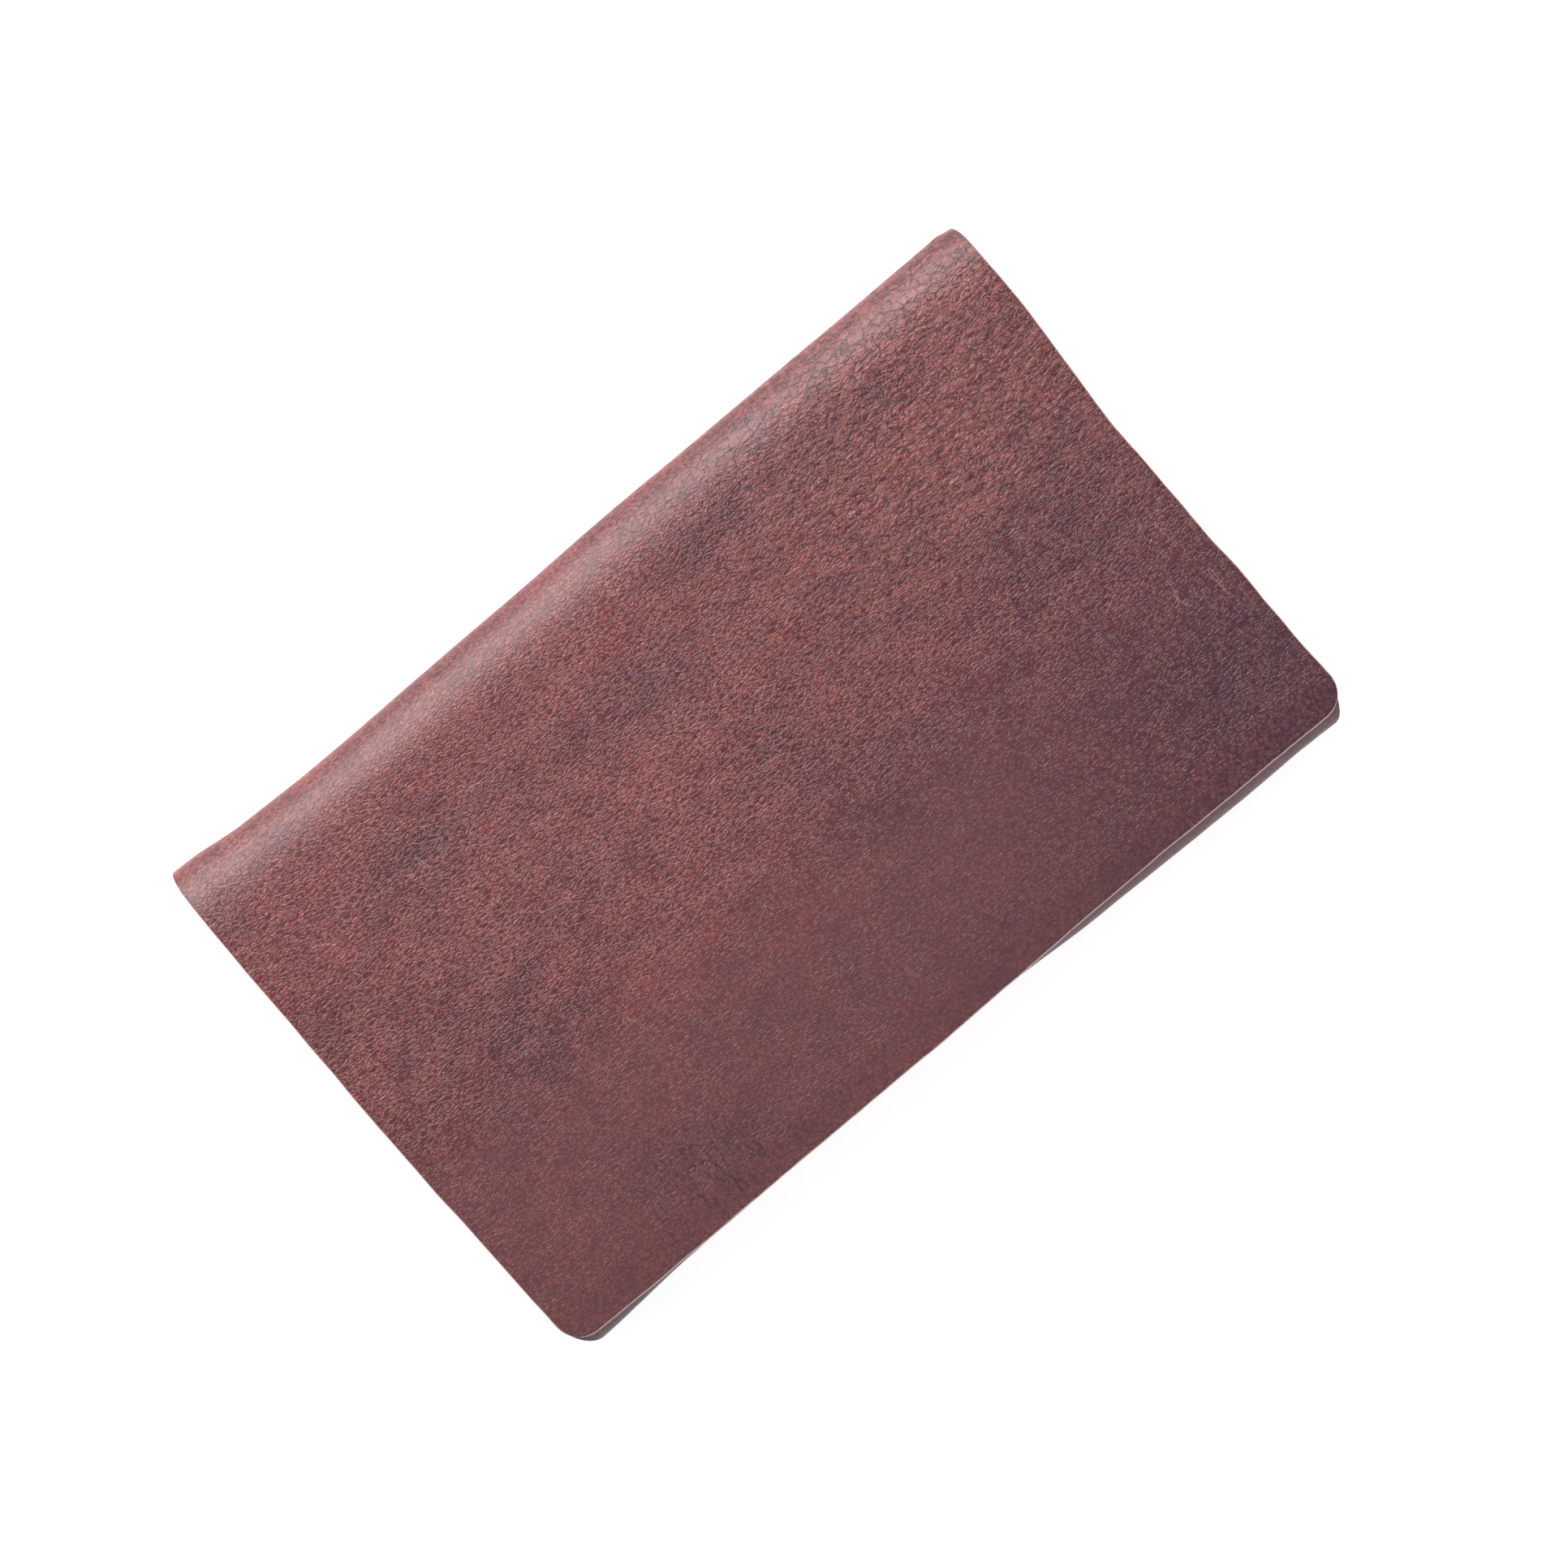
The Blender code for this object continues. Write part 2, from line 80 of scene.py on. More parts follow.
# Soft shape of the leather
TOP_SOFT = 7.5 * MM  # how far before the top fold the panels start to curve in
BOTTOM_SOFT = 4.0 * MM
TOP_END_ROUND = 7.0 * MM  # how far each side of its crest a fold's ends are drawn in
BOTTOM_END_ROUND = 9.0 * MM
INNER_STAND = 0.4 * MM  # the most that the inner side follows the outer one outwards
EDGE_ROUND = 0.35 * MM  # width over which a cut edge thins
EDGE_THIN = 0.18  # how much it thins on each face, as a share of the thickness
RAW_WIDTH = 0.24 * MM  # pale border of a cut edge
STEP = 1.0 * MM
FOLD_STEP = 0.6 * MM
FLAP_CORNER = 5.8 * MM
FRONT_CORNER = 6.0 * MM

# The folds' ends: crest, reach, and how many millimetres they are drawn in at the left and right
END_TUCKS = (
    (S_TOP_CREST, TOP_END_ROUND, 0.8, 0.8),
    (S_BOTTOM_CREST, BOTTOM_END_ROUND, 5.6, 4.2),
)

# Sewing
STITCH_PITCH = 3.4 * MM
STITCH_LONG = 2.7 * MM
STITCH_RADIUS = 0.23 * MM
STITCH_LEAN = 0.07  # how far each stitch is turned from the seam's line, as a slope
STITCH_RINGS = 9
STITCH_SIDES = 6
GROOVE_DEPTH = 0.14 * MM
GROOVE_WIDTH = 0.45 * MM

# Where the seams run, inside the boxes of the CAD model's threads
THREAD_HALF = 0.25 * MM  # half a CAD thread's width
LOOP_LOW, LOOP_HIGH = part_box("pocket_stitching")
SEAM_X = (LOOP_HIGH.x - LOOP_LOW.x) / 2 - THREAD_HALF
SEAM_TOP, SEAM_BOTTOM = LOOP_HIGH.y - THREAD_HALF, LOOP_LOW.y + THREAD_HALF
SEAM_MIDDLE = (SEAM_TOP + SEAM_BOTTOM) / 2
SEAM_HALF = (SEAM_TOP - SEAM_BOTTOM) / 2
FRONT_SEAM_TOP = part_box("front_pocket_stitching")[1].y - THREAD_HALF
FRONT_SEAM_S = S_FRONT + Y_BOTTOM - SEAM_BOTTOM  # the same two lines, as places across the sheet
FRONT_SEAM_END = S_FRONT + Y_BOTTOM - FRONT_SEAM_TOP
ZIP_LOW, ZIP_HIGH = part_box("zip_stitching")
ZIP_Y = (ZIP_LOW.y + ZIP_HIGH.y) / 2
ZIP_SEAM_X = ZIP_HIGH.x - THREAD_HALF
ZIP_SEAM_HALF = (ZIP_HIGH.y - ZIP_LOW.y) / 2 - THREAD_HALF
CARD_SEAM_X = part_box("card_edge_stitching_right")[1].x - THREAD_HALF

# The inside
INNER_STEP = 2.5 * MM
WINDOW_X, WINDOW_Y = 78.0 * MM, 3.5 * MM  # half sizes of the window over the zip
SLOT_TAIL, SLOT_HEAD = 5.0 * MM, 20.0 * MM  # how much narrower a slot is, and how far down
CREASE_INSET, CREASE_DEPTH, CREASE_WIDTH = 2.2 * MM, 0.10 * MM, 0.35 * MM
LIP_RISE, LIP_REACH = 0.16 * MM, 5.0 * MM
TOOTH_PITCH, TOOTH_LONG = 2.0 * MM, 1.2 * MM
METAL_BEVEL, METAL_ANGLE = 0.12 * MM, 35.0  # how wide, and the angle in degrees from which on

# One tooth's plan, half of it, as shares of its half length and of its reach, from root to tip
TOOTH_PLAN = ((-0.60, 1.0), (-0.60, 0.72), (-0.36, 0.52), (-0.52, 0.30), (-0.40, 0.06), (0, 0.0))
TOOTH_LEVELS = ((-1.0, 0.86), (-0.72, 1.0), (0.72, 1.0), (1.0, 0.86))  # height, and size there

# The photograph's viewpoint
VIEW_ROLL = math.radians(40.1)
FRAME_WIDTH = 0.2920  # what the picture spans at the level of the flap
LENS = 120.0
SENSOR = 36.0
VIEW_OFFSET = (0.0040, 0.0011)  # from the wallet's middle to the picture's, across and up

# Light
KEY_PLACE = (-0.02, 0.47, 0.42)
KEY_SIZE = (0.75, 0.34)
KEY_POWER = 6.6
KEY_COLOUR = (1.0, 0.985, 0.98)
BOUNCE_PLACE = (0.10, -0.62, 0.24)
BOUNCE_SIZE = (1.40, 0.46)
BOUNCE_POWER = 1.9
FILL_COLOUR = (0.96, 0.98, 1.0)
FILL_POWER = 0.22
WALL_POWER = 1.1
WALL_TOP = (0.15, 0.75)  # between which heights the walls fade, 0 at the horizon and 1 overhead
FLOOR_HALF = 1.5
FLOOR_COLOUR = (0.80, 0.80, 0.80)
FLOOR_GLOW = 0.68

# Colours, linear
WARM = (0.192, 0.040, 0.042)
DARK = (0.078, 0.020, 0.029)
SHADE_PURPLE = (0.062, 0.018, 0.036)
DRY = (0.134, 0.068, 0.072)
TAN = (0.330, 0.112, 0.094)
DEEP = (0.044, 0.012, 0.016)
FLESH_DARK = (0.150, 0.070, 0.050)
FLESH_PALE = (0.260, 0.135, 0.095)
EDGE_DARK = (0.380, 0.230, 0.210)
EDGE_PALE = (0.680, 0.520, 0.490)
POCKET_COLOURS = ((0.150, 0.050, 0.040), (0.085, 0.028, 0.026))
SLOT_COLOURS = ((0.180, 0.060, 0.048), (0.105, 0.036, 0.032))
TAPE_DARK, TAPE_PALE = (0.030, 0.014, 0.012), (0.085, 0.042, 0.036)
THREAD_DARK, THREAD_PALE = (0.110, 0.048, 0.036), (0.300, 0.160, 0.115)
BRASS, BRASS_DARK = (0.50, 0.34, 0.15), (0.20, 0.13, 0.06)

# Where the wax lies darkest and where it is rubbed palest: middle and size on the flap, in
# millimetres, and how strongly
DARK_PATCHES = (
    ((22, 43), (20, 8), 0.30), ((-1, 31), (24, 9), 0.26), ((-57, 31), (26, 13), 0.34),
    ((-74, 4), (26, 14), 0.28), ((-58, -8), (28, 15), 0.34), ((-50, -47), (24, 12), 0.42),
    ((18, -48), (14, 8), 0.30), ((66, -2), (28, 17), 0.40), ((80, -38), (26, 18), 0.45),
)
PALE_PATCHES = (
    ((-36, -14), (22, 12), 0.40), ((-5, -22), (20, 10), 0.35), ((-30, 10), (26, 9), 0.25),
    ((62, 30), (26, 10), 0.20), ((-20, 0), (24, 9), 0.20),
)

# How high the parts of the shell's grain stand, in millimetres
GRAIN_HEIGHTS = {
    "creases": -0.080, "net": 0.070, "fine": 0.064, "powder": 0.026, "ridges": 0.050, "domes": 0.130,
}
WRINKLE_HEIGHT = -0.070

# Patterns, in millimetres
RIB_PITCH = 0.55
PLY_PITCH = 0.8

# Extra lines of a grid, in millimetres: in from a cut edge, in from a join, and across a seam
CUT_LINES = (0.1, 0.22, 0.38)
JOIN_LINES = (0.03,)
SEAM_LINES = (-0.9, -0.55, -0.25, 0.0, 0.25, 0.55, 0.9)
LEAST_GAP = 0.02 * MM

NOISE_CELLS = 64  # after how many cells soft_noise repeats


# ---- smooth fields

def ease(t):
    """A smooth step from 0 to 1."""
    t = np.clip(t, 0.0, 1.0)
    return t * t * (3 - 2 * t)


def bell(at, middle, width):
    """1 at the middle, falling smoothly to 0 away from it."""
    return np.exp(-((at - middle) / width) ** 2)


def through(keys, at):
    """A smooth curve through (place, value) keys, level at each key."""
    places = np.array([key[0] for key in keys])
    values = np.array([key[1] for key in keys])
    at = np.asarray(at, float)
    index = np.clip(np.searchsorted(places, at) - 1, 0, len(keys) - 2)
    share = ease((at - places[index]) / (places[index + 1] - places[index]))
    return values[index] * (1 - share) + values[index + 1] * share


def soft_noise(x, y, size, seed):
    """Smooth noise from -1 to 1, with features about as wide as size."""
    table = np.random.RandomState(seed).uniform(-1, 1, (NOISE_CELLS, NOISE_CELLS))
    gx, gy = np.asarray(x) / size + 31.7, np.asarray(y) / size + 17.3
    ix, iy = np.floor(gx).astype(int), np.floor(gy).astype(int)
    fx, fy = ease(gx - ix), ease(gy - iy)
    ix, iy = ix % NOISE_CELLS, iy % NOISE_CELLS
    next_x, next_y = (ix + 1) % NOISE_CELLS, (iy + 1) % NOISE_CELLS
    near = table[ix, iy] * (1 - fx) + table[next_x, iy] * fx
    far = table[ix, next_y] * (1 - fx) + table[next_x, next_y] * fx
    return near * (1 - fy) + far * fy


def grid_lines(low, high, step, fine_at=(), raw_low=True, raw_high=True):
    """Places of a grid's lines: even, with more beside cut edges and at the places asked for."""
    count = max(2, round((high - low) / step))
    lines = list(np.linspace(low, high, count + 1))
    for raw, end, inward in ((raw_low, low, 1), (raw_high, high, -1)):
        lines += [end + inward * offset * MM for offset in (CUT_LINES if raw else JOIN_LINES)]
    for place in fine_at:
        lines += [place + offset * MM for offset in SEAM_LINES]
    kept = [low]
    for line in sorted(lines):
        if line - kept[-1] > LEAST_GAP and high - line > LEAST_GAP:
            kept.append(line)
    return np.array(kept + [high])


def round_corner(x, y, corner_x, corner_y, radius):
    """Draw the square corner of a grid in to a round one. The corner's signs say which it is."""
    side_x, side_y = np.sign(corner_x), np.sign(corner_y[1])
    a = (x - (corner_x - side_x * radius)) * side_x / radius
    b = (y - (corner_y[0] - side_y * radius)) * side_y / radius
    inside = (a > 0) & (b > 0)
    squeeze_a = np.where(inside, a * np.sqrt(np.clip(1 - b * b / 2, 0, 1)), a)
    squeeze_b = np.where(inside, b * np.sqrt(np.clip(1 - a * a / 2, 0, 1)), b)
    return (corner_x - side_x * radius + side_x * radius * squeeze_a,
            corner_y[0] - side_y * radius + side_y * radius * squeeze_b)


# ---- meshes

def add_object(name, data):
    """A new object in the scene."""
    made = bpy.data.objects.new(name, data)
    bpy.context.scene.collection.objects.link(made)
    return made


def make_object(name, points, faces, materials, face_material=None, sheet=None, sharp=50):
    """A smooth-shaded mesh object; sheet holds each point's place on the flat leather."""
    mesh = bpy.data.meshes.new(name)
    mesh.from_pydata([tuple(point) for point in points], [], [tuple(face) for face in faces])
    for material in materials:
        mesh.materials.append(material)
    if face_material is not None:
        mesh.polygons.foreach_set("material_index", np.asarray(face_material, np.int32))
    if sheet is not None:
        attribute = mesh.attributes.new("sheet", "FLOAT_VECTOR", "POINT")
        attribute.data.foreach_set("vector", np.asarray(sheet, np.float32).ravel())
    mesh.update()
    mesh.shade_smooth()
    mesh.set_sharp_from_angle(angle=math.radians(sharp))
    return add_object(name, mesh)


def solid_from_grid(name, outer, inner, sheet, keep, raw, materials, flip=False):
    """A closed sheet from a grid of outer and inner points.

    keep says which cells are leather, and raw which grid points are on or beside a cut edge. The
    materials are the outer side's, the inner side's and the cut edge's.
    """
    rows, columns = keep.shape
    index = np.arange((rows + 1) * (columns + 1)).reshape(rows + 1, columns + 1)
    total = index.size
    around = np.pad(keep, 1)
    faces, material = [], []
    for i, j in zip(*np.nonzero(keep)):
        ring = [index[i, j], index[i + 1, j], index[i + 1, j + 1], index[i, j + 1]]
        edge = raw[i, j] and raw[i + 1, j] and raw[i, j + 1] and raw[i + 1, j + 1]
        faces += [ring, [vertex + total for vertex in reversed(ring)]]
        material += [2, 2] if edge else [0, 1]
        neighbours = (
            (around[i, j + 1], 3, 0), (around[i + 2, j + 1], 1, 2),
            (around[i + 1, j], 0, 1), (around[i + 1, j + 2], 2, 3),
        )
        for filled, first, last in neighbours:
            if not filled:
                a, b = ring[first], ring[last]
                faces.append([b, a, a + total, b + total])
                material.append(2)
    if flip:
        faces = [face[::-1] for face in faces]
    points = np.concatenate([outer.reshape(-1, 3), inner.reshape(-1, 3)])
    places = np.concatenate([sheet.reshape(-1, 3), (sheet + (0, 0, 0.4)).reshape(-1, 3)])
    used = np.unique(np.concatenate([np.asarray(face) for face in faces]))
    renumber = np.full(len(points), -1)
    renumber[used] = np.arange(len(used))
    faces = [[int(renumber[vertex]) for vertex in face] for face in faces]
    return make_object(name, points[used], faces, materials, material, places[used])


# ---- the shell's form

def section(s):
    """The middle of the leather across the folds, as y, z and the outward direction."""
    top = np.clip((s - Y_TOP) / R_TOP, 0, math.pi)
    bottom = np.clip((Y_BOTTOM - s) / R_BOTTOM, 0, math.pi)
    past_top = np.clip(s - S_FLAP, 0, None)
    past_bottom = np.clip(S_FRONT - s, 0, None)
    y = np.clip(s, Y_BOTTOM, Y_TOP) + R_TOP * np.sin(top) - R_BOTTOM * np.sin(bottom)
    y = y - past_top + past_bottom
    z = THICK / 2 + R_TOP * (1 - np.cos(top)) + R_BOTTOM * (1 - np.cos(bottom))
    turn = top + bottom
    out_y = np.sin(top) - np.sin(bottom)
    return y, z, out_y, -np.cos(turn)


def flap_y(s):
    """Where a place on the flap is, along y."""
    return Y_TOP - (s - S_FLAP)


def flap_s(y):
    """The place across the sheet of a y on the flap."""
    return S_FLAP + Y_TOP - y


# Across the sheet, how far each short edge is moved to the right, in millimetres
LEFT_EDGE = (
    (S_FRONT_END, 1.0), (Y_BOTTOM, 0.9), (0.0, 0.8), (Y_TOP - 6 * MM, 0.3), (S_TOP_CREST, -0.45),
    (flap_s(0.046), -0.55), (flap_s(0.002), -0.3), (S_FLAP_END, 1.1),
)
RIGHT_EDGE = (
    (S_FRONT_END, -0.8), (Y_BOTTOM, -0.5), (0.0, -1.1), (Y_TOP - 6 * MM, -0.6), (S_TOP_CREST, 0.5),
    (flap_s(0.046), 0.6), (flap_s(0.006), -1.1), (S_FLAP_END, -0.35),
)

# Across the sheet, how strongly the leather waves and how far it stands out, in millimetres
WAVES = (
    (S_FRONT_END, 0.05), (S_FRONT, 0.08), (S_BOTTOM_CREST, 0.22), (Y_BOTTOM, 0.08), (Y_TOP, 0.08),
    (S_TOP_CREST, 0.22), (S_FLAP, 0.20), (flap_s(0.03), 0.26), (S_FLAP_END, 0.20),
)
RISE = (
    (S_FRONT_END, 0.0), (S_FRONT, 0.0), (S_BOTTOM_CREST, 0.0), (Y_BOTTOM, -0.12), (Y_TOP, -0.12),
    (S_TOP_CREST, 0.0), (flap_s(0.03), 0.25), (flap_s(-0.05), 0.25), (flap_s(-0.059), -0.6),
)

# Along x, how far the flap's free edge and the bottom fold's crest stand out, in millimetres
FREE_EDGE = ((-0.095, 1.5), (-0.015, 1.6), (0.045, 1.1), (0.095, 1.4))
FLARE = (
    (-0.095, 1.4), (-0.060, 0.15), (-0.030, -0.2), (0.010, -0.24), (0.034, 0.75), (0.058, 1.25),
    (0.080, 1.25), (0.095, 1.65),
)


def side_shift(x, s):
    """How far the two short edges stand in or out of the plain rectangle, in gentle waves."""
    left = through(LEFT_EDGE, s) + 0.10 * soft_noise(s, 0, 6 * MM, 21)
    right = through(RIGHT_EDGE, s) + 0.22 * soft_noise(s, 0, 9 * MM, 22)
    right = right + 0.06 * soft_noise(s, 0, 2.5 * MM, 23)
    share = (x + HALF) / (2 * HALF)
    shift = (left * (1 - share) ** 3 + right * share ** 3) * MM
    for crest, width, left_depth, right_depth in END_TUCKS:
        depth = np.where(x < 0, left_depth, right_depth) * MM
        tuck = depth * np.clip(1 - np.abs(s - crest) / width, 0, 1) ** 2
        shift = shift - np.sign(x) * tuck * np.clip(np.abs(x) / HALF, 0, 1) ** 12
    return shift


def end_shift(x, s):
    """How far the flap's free edge runs past the plain rectangle's."""
    ripple = 0.10 * soft_noise(x, 0, 7 * MM, 31) + 0.05 * soft_noise(x, 0, 2 * MM, 32)
    middle = flap_s(0)
    return (through(FREE_EDGE, x) + ripple) * MM * ease((s - middle) / (S_FLAP_END - middle))


def crest_rise(x):
    """How far the top fold's crest stands out, in millimetres: two hollows, and its two ends."""
    hollows = 0.85 * bell(x, -0.062, 0.022) + 0.35 * bell(x, -0.020, 0.030)
    left_end, right_end = ease((-0.078 - x) / 0.014), ease((x - 0.091) / 0.004)
    return 0.4 - hollows + left_end - 0.6 * right_end


def lift(x, s):
    """How far the leather stands out from its plain form, outwards."""
    top, bottom = bell(s, S_TOP_CREST, 7 * MM), bell(s, S_BOTTOM_CREST, 5 * MM)
    broad = soft_noise(x, s, 34 * MM, 41) + 0.45 * soft_noise(x, s, 13 * MM, 42)
    crease = soft_noise(x, s, 2.2 * MM, 43) * soft_noise(x, s, 17 * MM, 44)
    stand = through(RISE, s) + through(WAVES, s) * broad
    stand = stand + top * crest_rise(x) + bottom * through(FLARE, x)
    return (stand + 0.05 * crease * (top + bottom)) * MM


def soften(y, z, s):
    """Draw the folds' half circles out to softer curves that start on the flat panels."""
    for radius, centre, side, soft in (
        (R_TOP + THICK / 2, Y_TOP, 1, TOP_SOFT),
        (R_BOTTOM + THICK / 2, -Y_BOTTOM, -1, BOTTOM_SOFT),
    ):
        past = y * side - centre
        out = np.clip(past, -soft, radius * 0.995)
        round_height = np.sqrt(radius ** 2 - np.clip(out, 0, None) ** 2)
        soft_height = radius * np.sqrt(1 - ((out + soft) / (radius + soft)) ** 2)
        squashed = radius + (z - radius) * soft_height / round_height
        z = np.where((past > -soft) & (s * side > 0), squashed, z)
    return z


def back_seam(x, s):
    """How far each place is from the line of stitches round the back panel."""
    return np.abs(np.maximum(np.abs(x) - SEAM_X, np.abs(s - SEAM_MIDDLE) - SEAM_HALF))


def front_seam(x, s):
    """How far each place is from the stitches along three sides of the front panel."""
    past_end = np.clip(FRONT_SEAM_END - s, 0, None)
    return np.abs(np.maximum(np.abs(x) - SEAM_X, s - FRONT_SEAM_S)) + past_end


def groove(away):
    """How deep the thread has drawn the leather in, that far away from the seam."""
    return GROOVE_DEPTH * bell(away, 0, GROOVE_WIDTH)


def thinned(edge, thick):
    """How far each face is drawn in, that far from a cut edge."""
    return EDGE_THIN * thick * np.clip(1 - edge / EDGE_ROUND, 0, 1) ** 2


def shell_sides(x, s, thin=0.0):
    """The outer and inner points of the skin, and its outward direction, at places on the sheet."""
    y, z, out_y, out_z = section(s)
    stand = lift(x, s)
    sunk = groove(back_seam(x, s)) + groove(front_seam(x, s))
    outer = THICK / 2 - thin + stand - sunk
    inner = THICK / 2 - thin - np.minimum(stand, INNER_STAND)
    outer_y, outer_z = y + out_y * outer, z + out_z * outer
    inner_y, inner_z = y - out_y * inner, z - out_z * inner
    return (
        np.stack([x, outer_y, soften(outer_y, outer_z, s)], -1),
        np.stack([x, inner_y, soften(inner_y, inner_z, s)], -1),
        np.stack([np.zeros_like(x), out_y, out_z], -1))


def shell_piece(name, s_low, s_high, materials, step=STEP, raw=(), corner=0.0, seam=()):
    """A stretch of the shell. raw names its cut ends, low or high; its short sides are all cut."""
    lines_x = grid_lines(-HALF, HALF, STEP, (-SEAM_X, SEAM_X))
    lines_s = grid_lines(s_low, s_high, step, seam, raw_low="low" in raw, raw_high="high" in raw)
    x, s = np.meshgrid(lines_x, lines_s, indexing="ij")
    edge = np.minimum(x + HALF, HALF - x)
    if "low" in raw:
        edge = np.minimum(edge, s - s_low)
    if "high" in raw:
        edge = np.minimum(edge, s_high - s)
    thin = thinned(edge, THICK)
    if corner:
        end, sign = (s_high, 1) if "high" in raw else (s_low, -1)
        for side in (-1, 1):
            x, s = round_corner(x, s, side * HALF, (end, sign), corner)
    x = x + side_shift(x, s)
    s = s + end_shift(x, s)
    outer, inner, _ = shell_sides(x, s, thin)
    sheet = np.stack([x, flap_y(s), np.zeros_like(x)], -1)
    keep = np.ones((len(lines_x) - 1, len(lines_s) - 1), bool)
    return solid_from_grid(name, outer, inner, sheet, keep, edge < RAW_WIDTH, materials, flip=True)


def build_shell(materials):
    """The seven stretches of the skin: the flap, back and front each on the body that carries it, and
    the four pieces of the folds left unparented where they lie.
    """
    top, bottom = S_TOP_CREST, S_BOTTOM_CREST
    flap = shell_piece(
        "flap_leather", S_FLAP + FOLD_REACH, S_FLAP_END, materials, raw=("high",), corner=FLAP_CORNER)
    back = shell_piece("back_leather", Y_BOTTOM + FOLD_REACH, Y_TOP - FOLD_REACH, materials)
    front = shell_piece(
        "front_leather", S_FRONT_END, S_FRONT - FOLD_REACH, materials, raw=("low",),
        corner=FRONT_CORNER)
    for made, body, node in (
        (flap, "flap", "flap_panel"), (back, "back", "back_panel"), (front, "front", "front_panel"),
    ):
        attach(made, body)
        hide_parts(node)
    upper = shell_piece("top_fold_upper_leather", top, S_FLAP + FOLD_REACH, materials, FOLD_STEP)
    lower = shell_piece(
        "top_fold_lower_leather", Y_TOP - FOLD_REACH, top, materials, FOLD_STEP, seam=(SEAM_TOP,))
    under = shell_piece(
        "bottom_fold_lower_leather", bottom, Y_BOTTOM + FOLD_REACH, materials, FOLD_STEP,
        seam=(SEAM_BOTTOM,))
    over = shell_piece(
        "bottom_fold_upper_leather", S_FRONT - FOLD_REACH, bottom, materials, FOLD_STEP,
        seam=(FRONT_SEAM_S,))
    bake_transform(upper)
    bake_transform(lower)
    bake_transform(under)
    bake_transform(over)
    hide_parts("top_fold")
    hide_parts("top_fold")
    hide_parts("bottom_fold")
    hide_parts("bottom_fold")


# ---- the inside

def rumple(x, y):
    """The soft unevenness that every layer inside shares, so that no two cross."""
    return (0.09 * soft_noise(x, y, 31 * MM, 61) + 0.04 * soft_noise(x, y, 11 * MM, 62)) * MM


def plate_grid(low, high, lip, hole, tail, seams):
    """A layer's grid of points, with more lines beside all that is cut, creased or sewn."""
    fine_x, fine_y = [], []
    if seams:
        fine_x += seams["x"]
        fine_y += seams["y"]
    if hole:
        fine_x += [hole[0][0], hole[1][0]]
        fine_y += [hole[0][1], hole[1][1]]
    if tail:
        fine_x += [low.x + tail[0], high.x - tail[0]]
        fine_y += [tail[1]]
    if lip:
        fine_y += [high.y - CREASE_INSET]
    lines_x = grid_lines(low.x, high.x, INNER_STEP, fine_x)
    lines_y = grid_lines(low.y, high.y, INNER_STEP, fine_y)
    return np.meshgrid(lines_x, lines_y, indexing="ij")


def plate_cells(x, y, low, high, hole, tail):
    """Which cells of a layer's grid are leather, and how far each point is from its edges."""
    edge = np.minimum(np.minimum(x - low.x, high.x - x), np.minimum(y - low.y, high.y - y))
    cell_x, cell_y = (x[1:, 1:] + x[:-1, :-1]) / 2, (y[1:, 1:] + y[:-1, :-1]) / 2
    keep = np.ones(cell_x.shape, bool)
    if hole:
        (x0, y0), (x1, y1) = hole
        keep &= ~((cell_x > x0) & (cell_x < x1) & (cell_y > y0) & (cell_y < y1))
        outside = np.maximum(np.maximum(x0 - x, x - x1), np.maximum(y0 - y, y - y1))
        edge = np.minimum(edge, np.abs(outside))
    if tail:
        side, level = tail
        keep &= ~((cell_y < level) & ((cell_x < low.x + side) | (cell_x > high.x - side)))
    return keep, edge


def plate(name, node, materials, body, grain_up=True, lip=False, hole=None, tail=None, seams=None):
    """A flat layer of leather or tape, with thinned edges and the dips that its seams draw.

    lip says that its upper edge is an open mouth. hole is the low and high corner of an opening.
    tail is how much narrower it is on each side, and below which y. seams gives the distance from
    each place to the stitches, and the lines to refine for them.
    """
    low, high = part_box(node)
    x, y = plate_grid(low, high, lip, hole, tail, seams)
    keep, edge = plate_cells(x, y, low, high, hole, tail)
    thin = thinned(edge, high.z - low.z)
    shift = rumple(x, y)
    sunk = groove(seams["away"](x, y)) if seams else 0.0
    if lip:
        middle = 1 - ((2 * x - low.x - high.x) / (high.x - low.x)) ** 2
        rise = LIP_RISE * middle * bell(y, high.y, LIP_REACH)
        shift = shift + (rise if grain_up else -rise)
        sunk = sunk + CREASE_DEPTH * bell(y, high.y - CREASE_INSET, CREASE_WIDTH)
    top = high.z - thin + shift - (sunk if grain_up else 0)
    bottom = low.z + thin + shift + (0 if grain_up else sunk)
    faces = materials if grain_up else (materials[1], materials[0], materials[2])
    made = solid_from_grid(
        name, np.stack([x, y, top], -1), np.stack([x, y, bottom], -1),
        np.stack([x, y, np.zeros_like(x)], -1), keep, edge < RAW_WIDTH, faces)
    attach(made, body)
    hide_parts(node)
    return made


def loop_distance(half_x, middle_y, half_y):
    """The distance from any place to a rectangle's outline."""
    return lambda x, y: np.abs(np.maximum(np.abs(x) - half_x, np.abs(y - middle_y) - half_y))


def build_pocket(materials):
    """The zipped pocket's wall, with the window over the zip."""
    outer_loop = loop_distance(SEAM_X, SEAM_MIDDLE, SEAM_HALF)
    zip_loop = loop_distance(ZIP_SEAM_X, ZIP_Y, ZIP_SEAM_HALF)
    seams = {
        "away": lambda x, y: np.minimum(outer_loop(x, y), zip_loop(x, y)),
        "x": (-SEAM_X, SEAM_X),
        "y": (SEAM_BOTTOM, SEAM_TOP, ZIP_Y - ZIP_SEAM_HALF, ZIP_Y + ZIP_SEAM_HALF),
    }
    window = ((-WINDOW_X, ZIP_Y - WINDOW_Y), (WINDOW_X, ZIP_Y + WINDOW_Y))
    made = plate("pocket_wall_leather", "pocket_wall", materials, "back", hole=window, seams=seams)


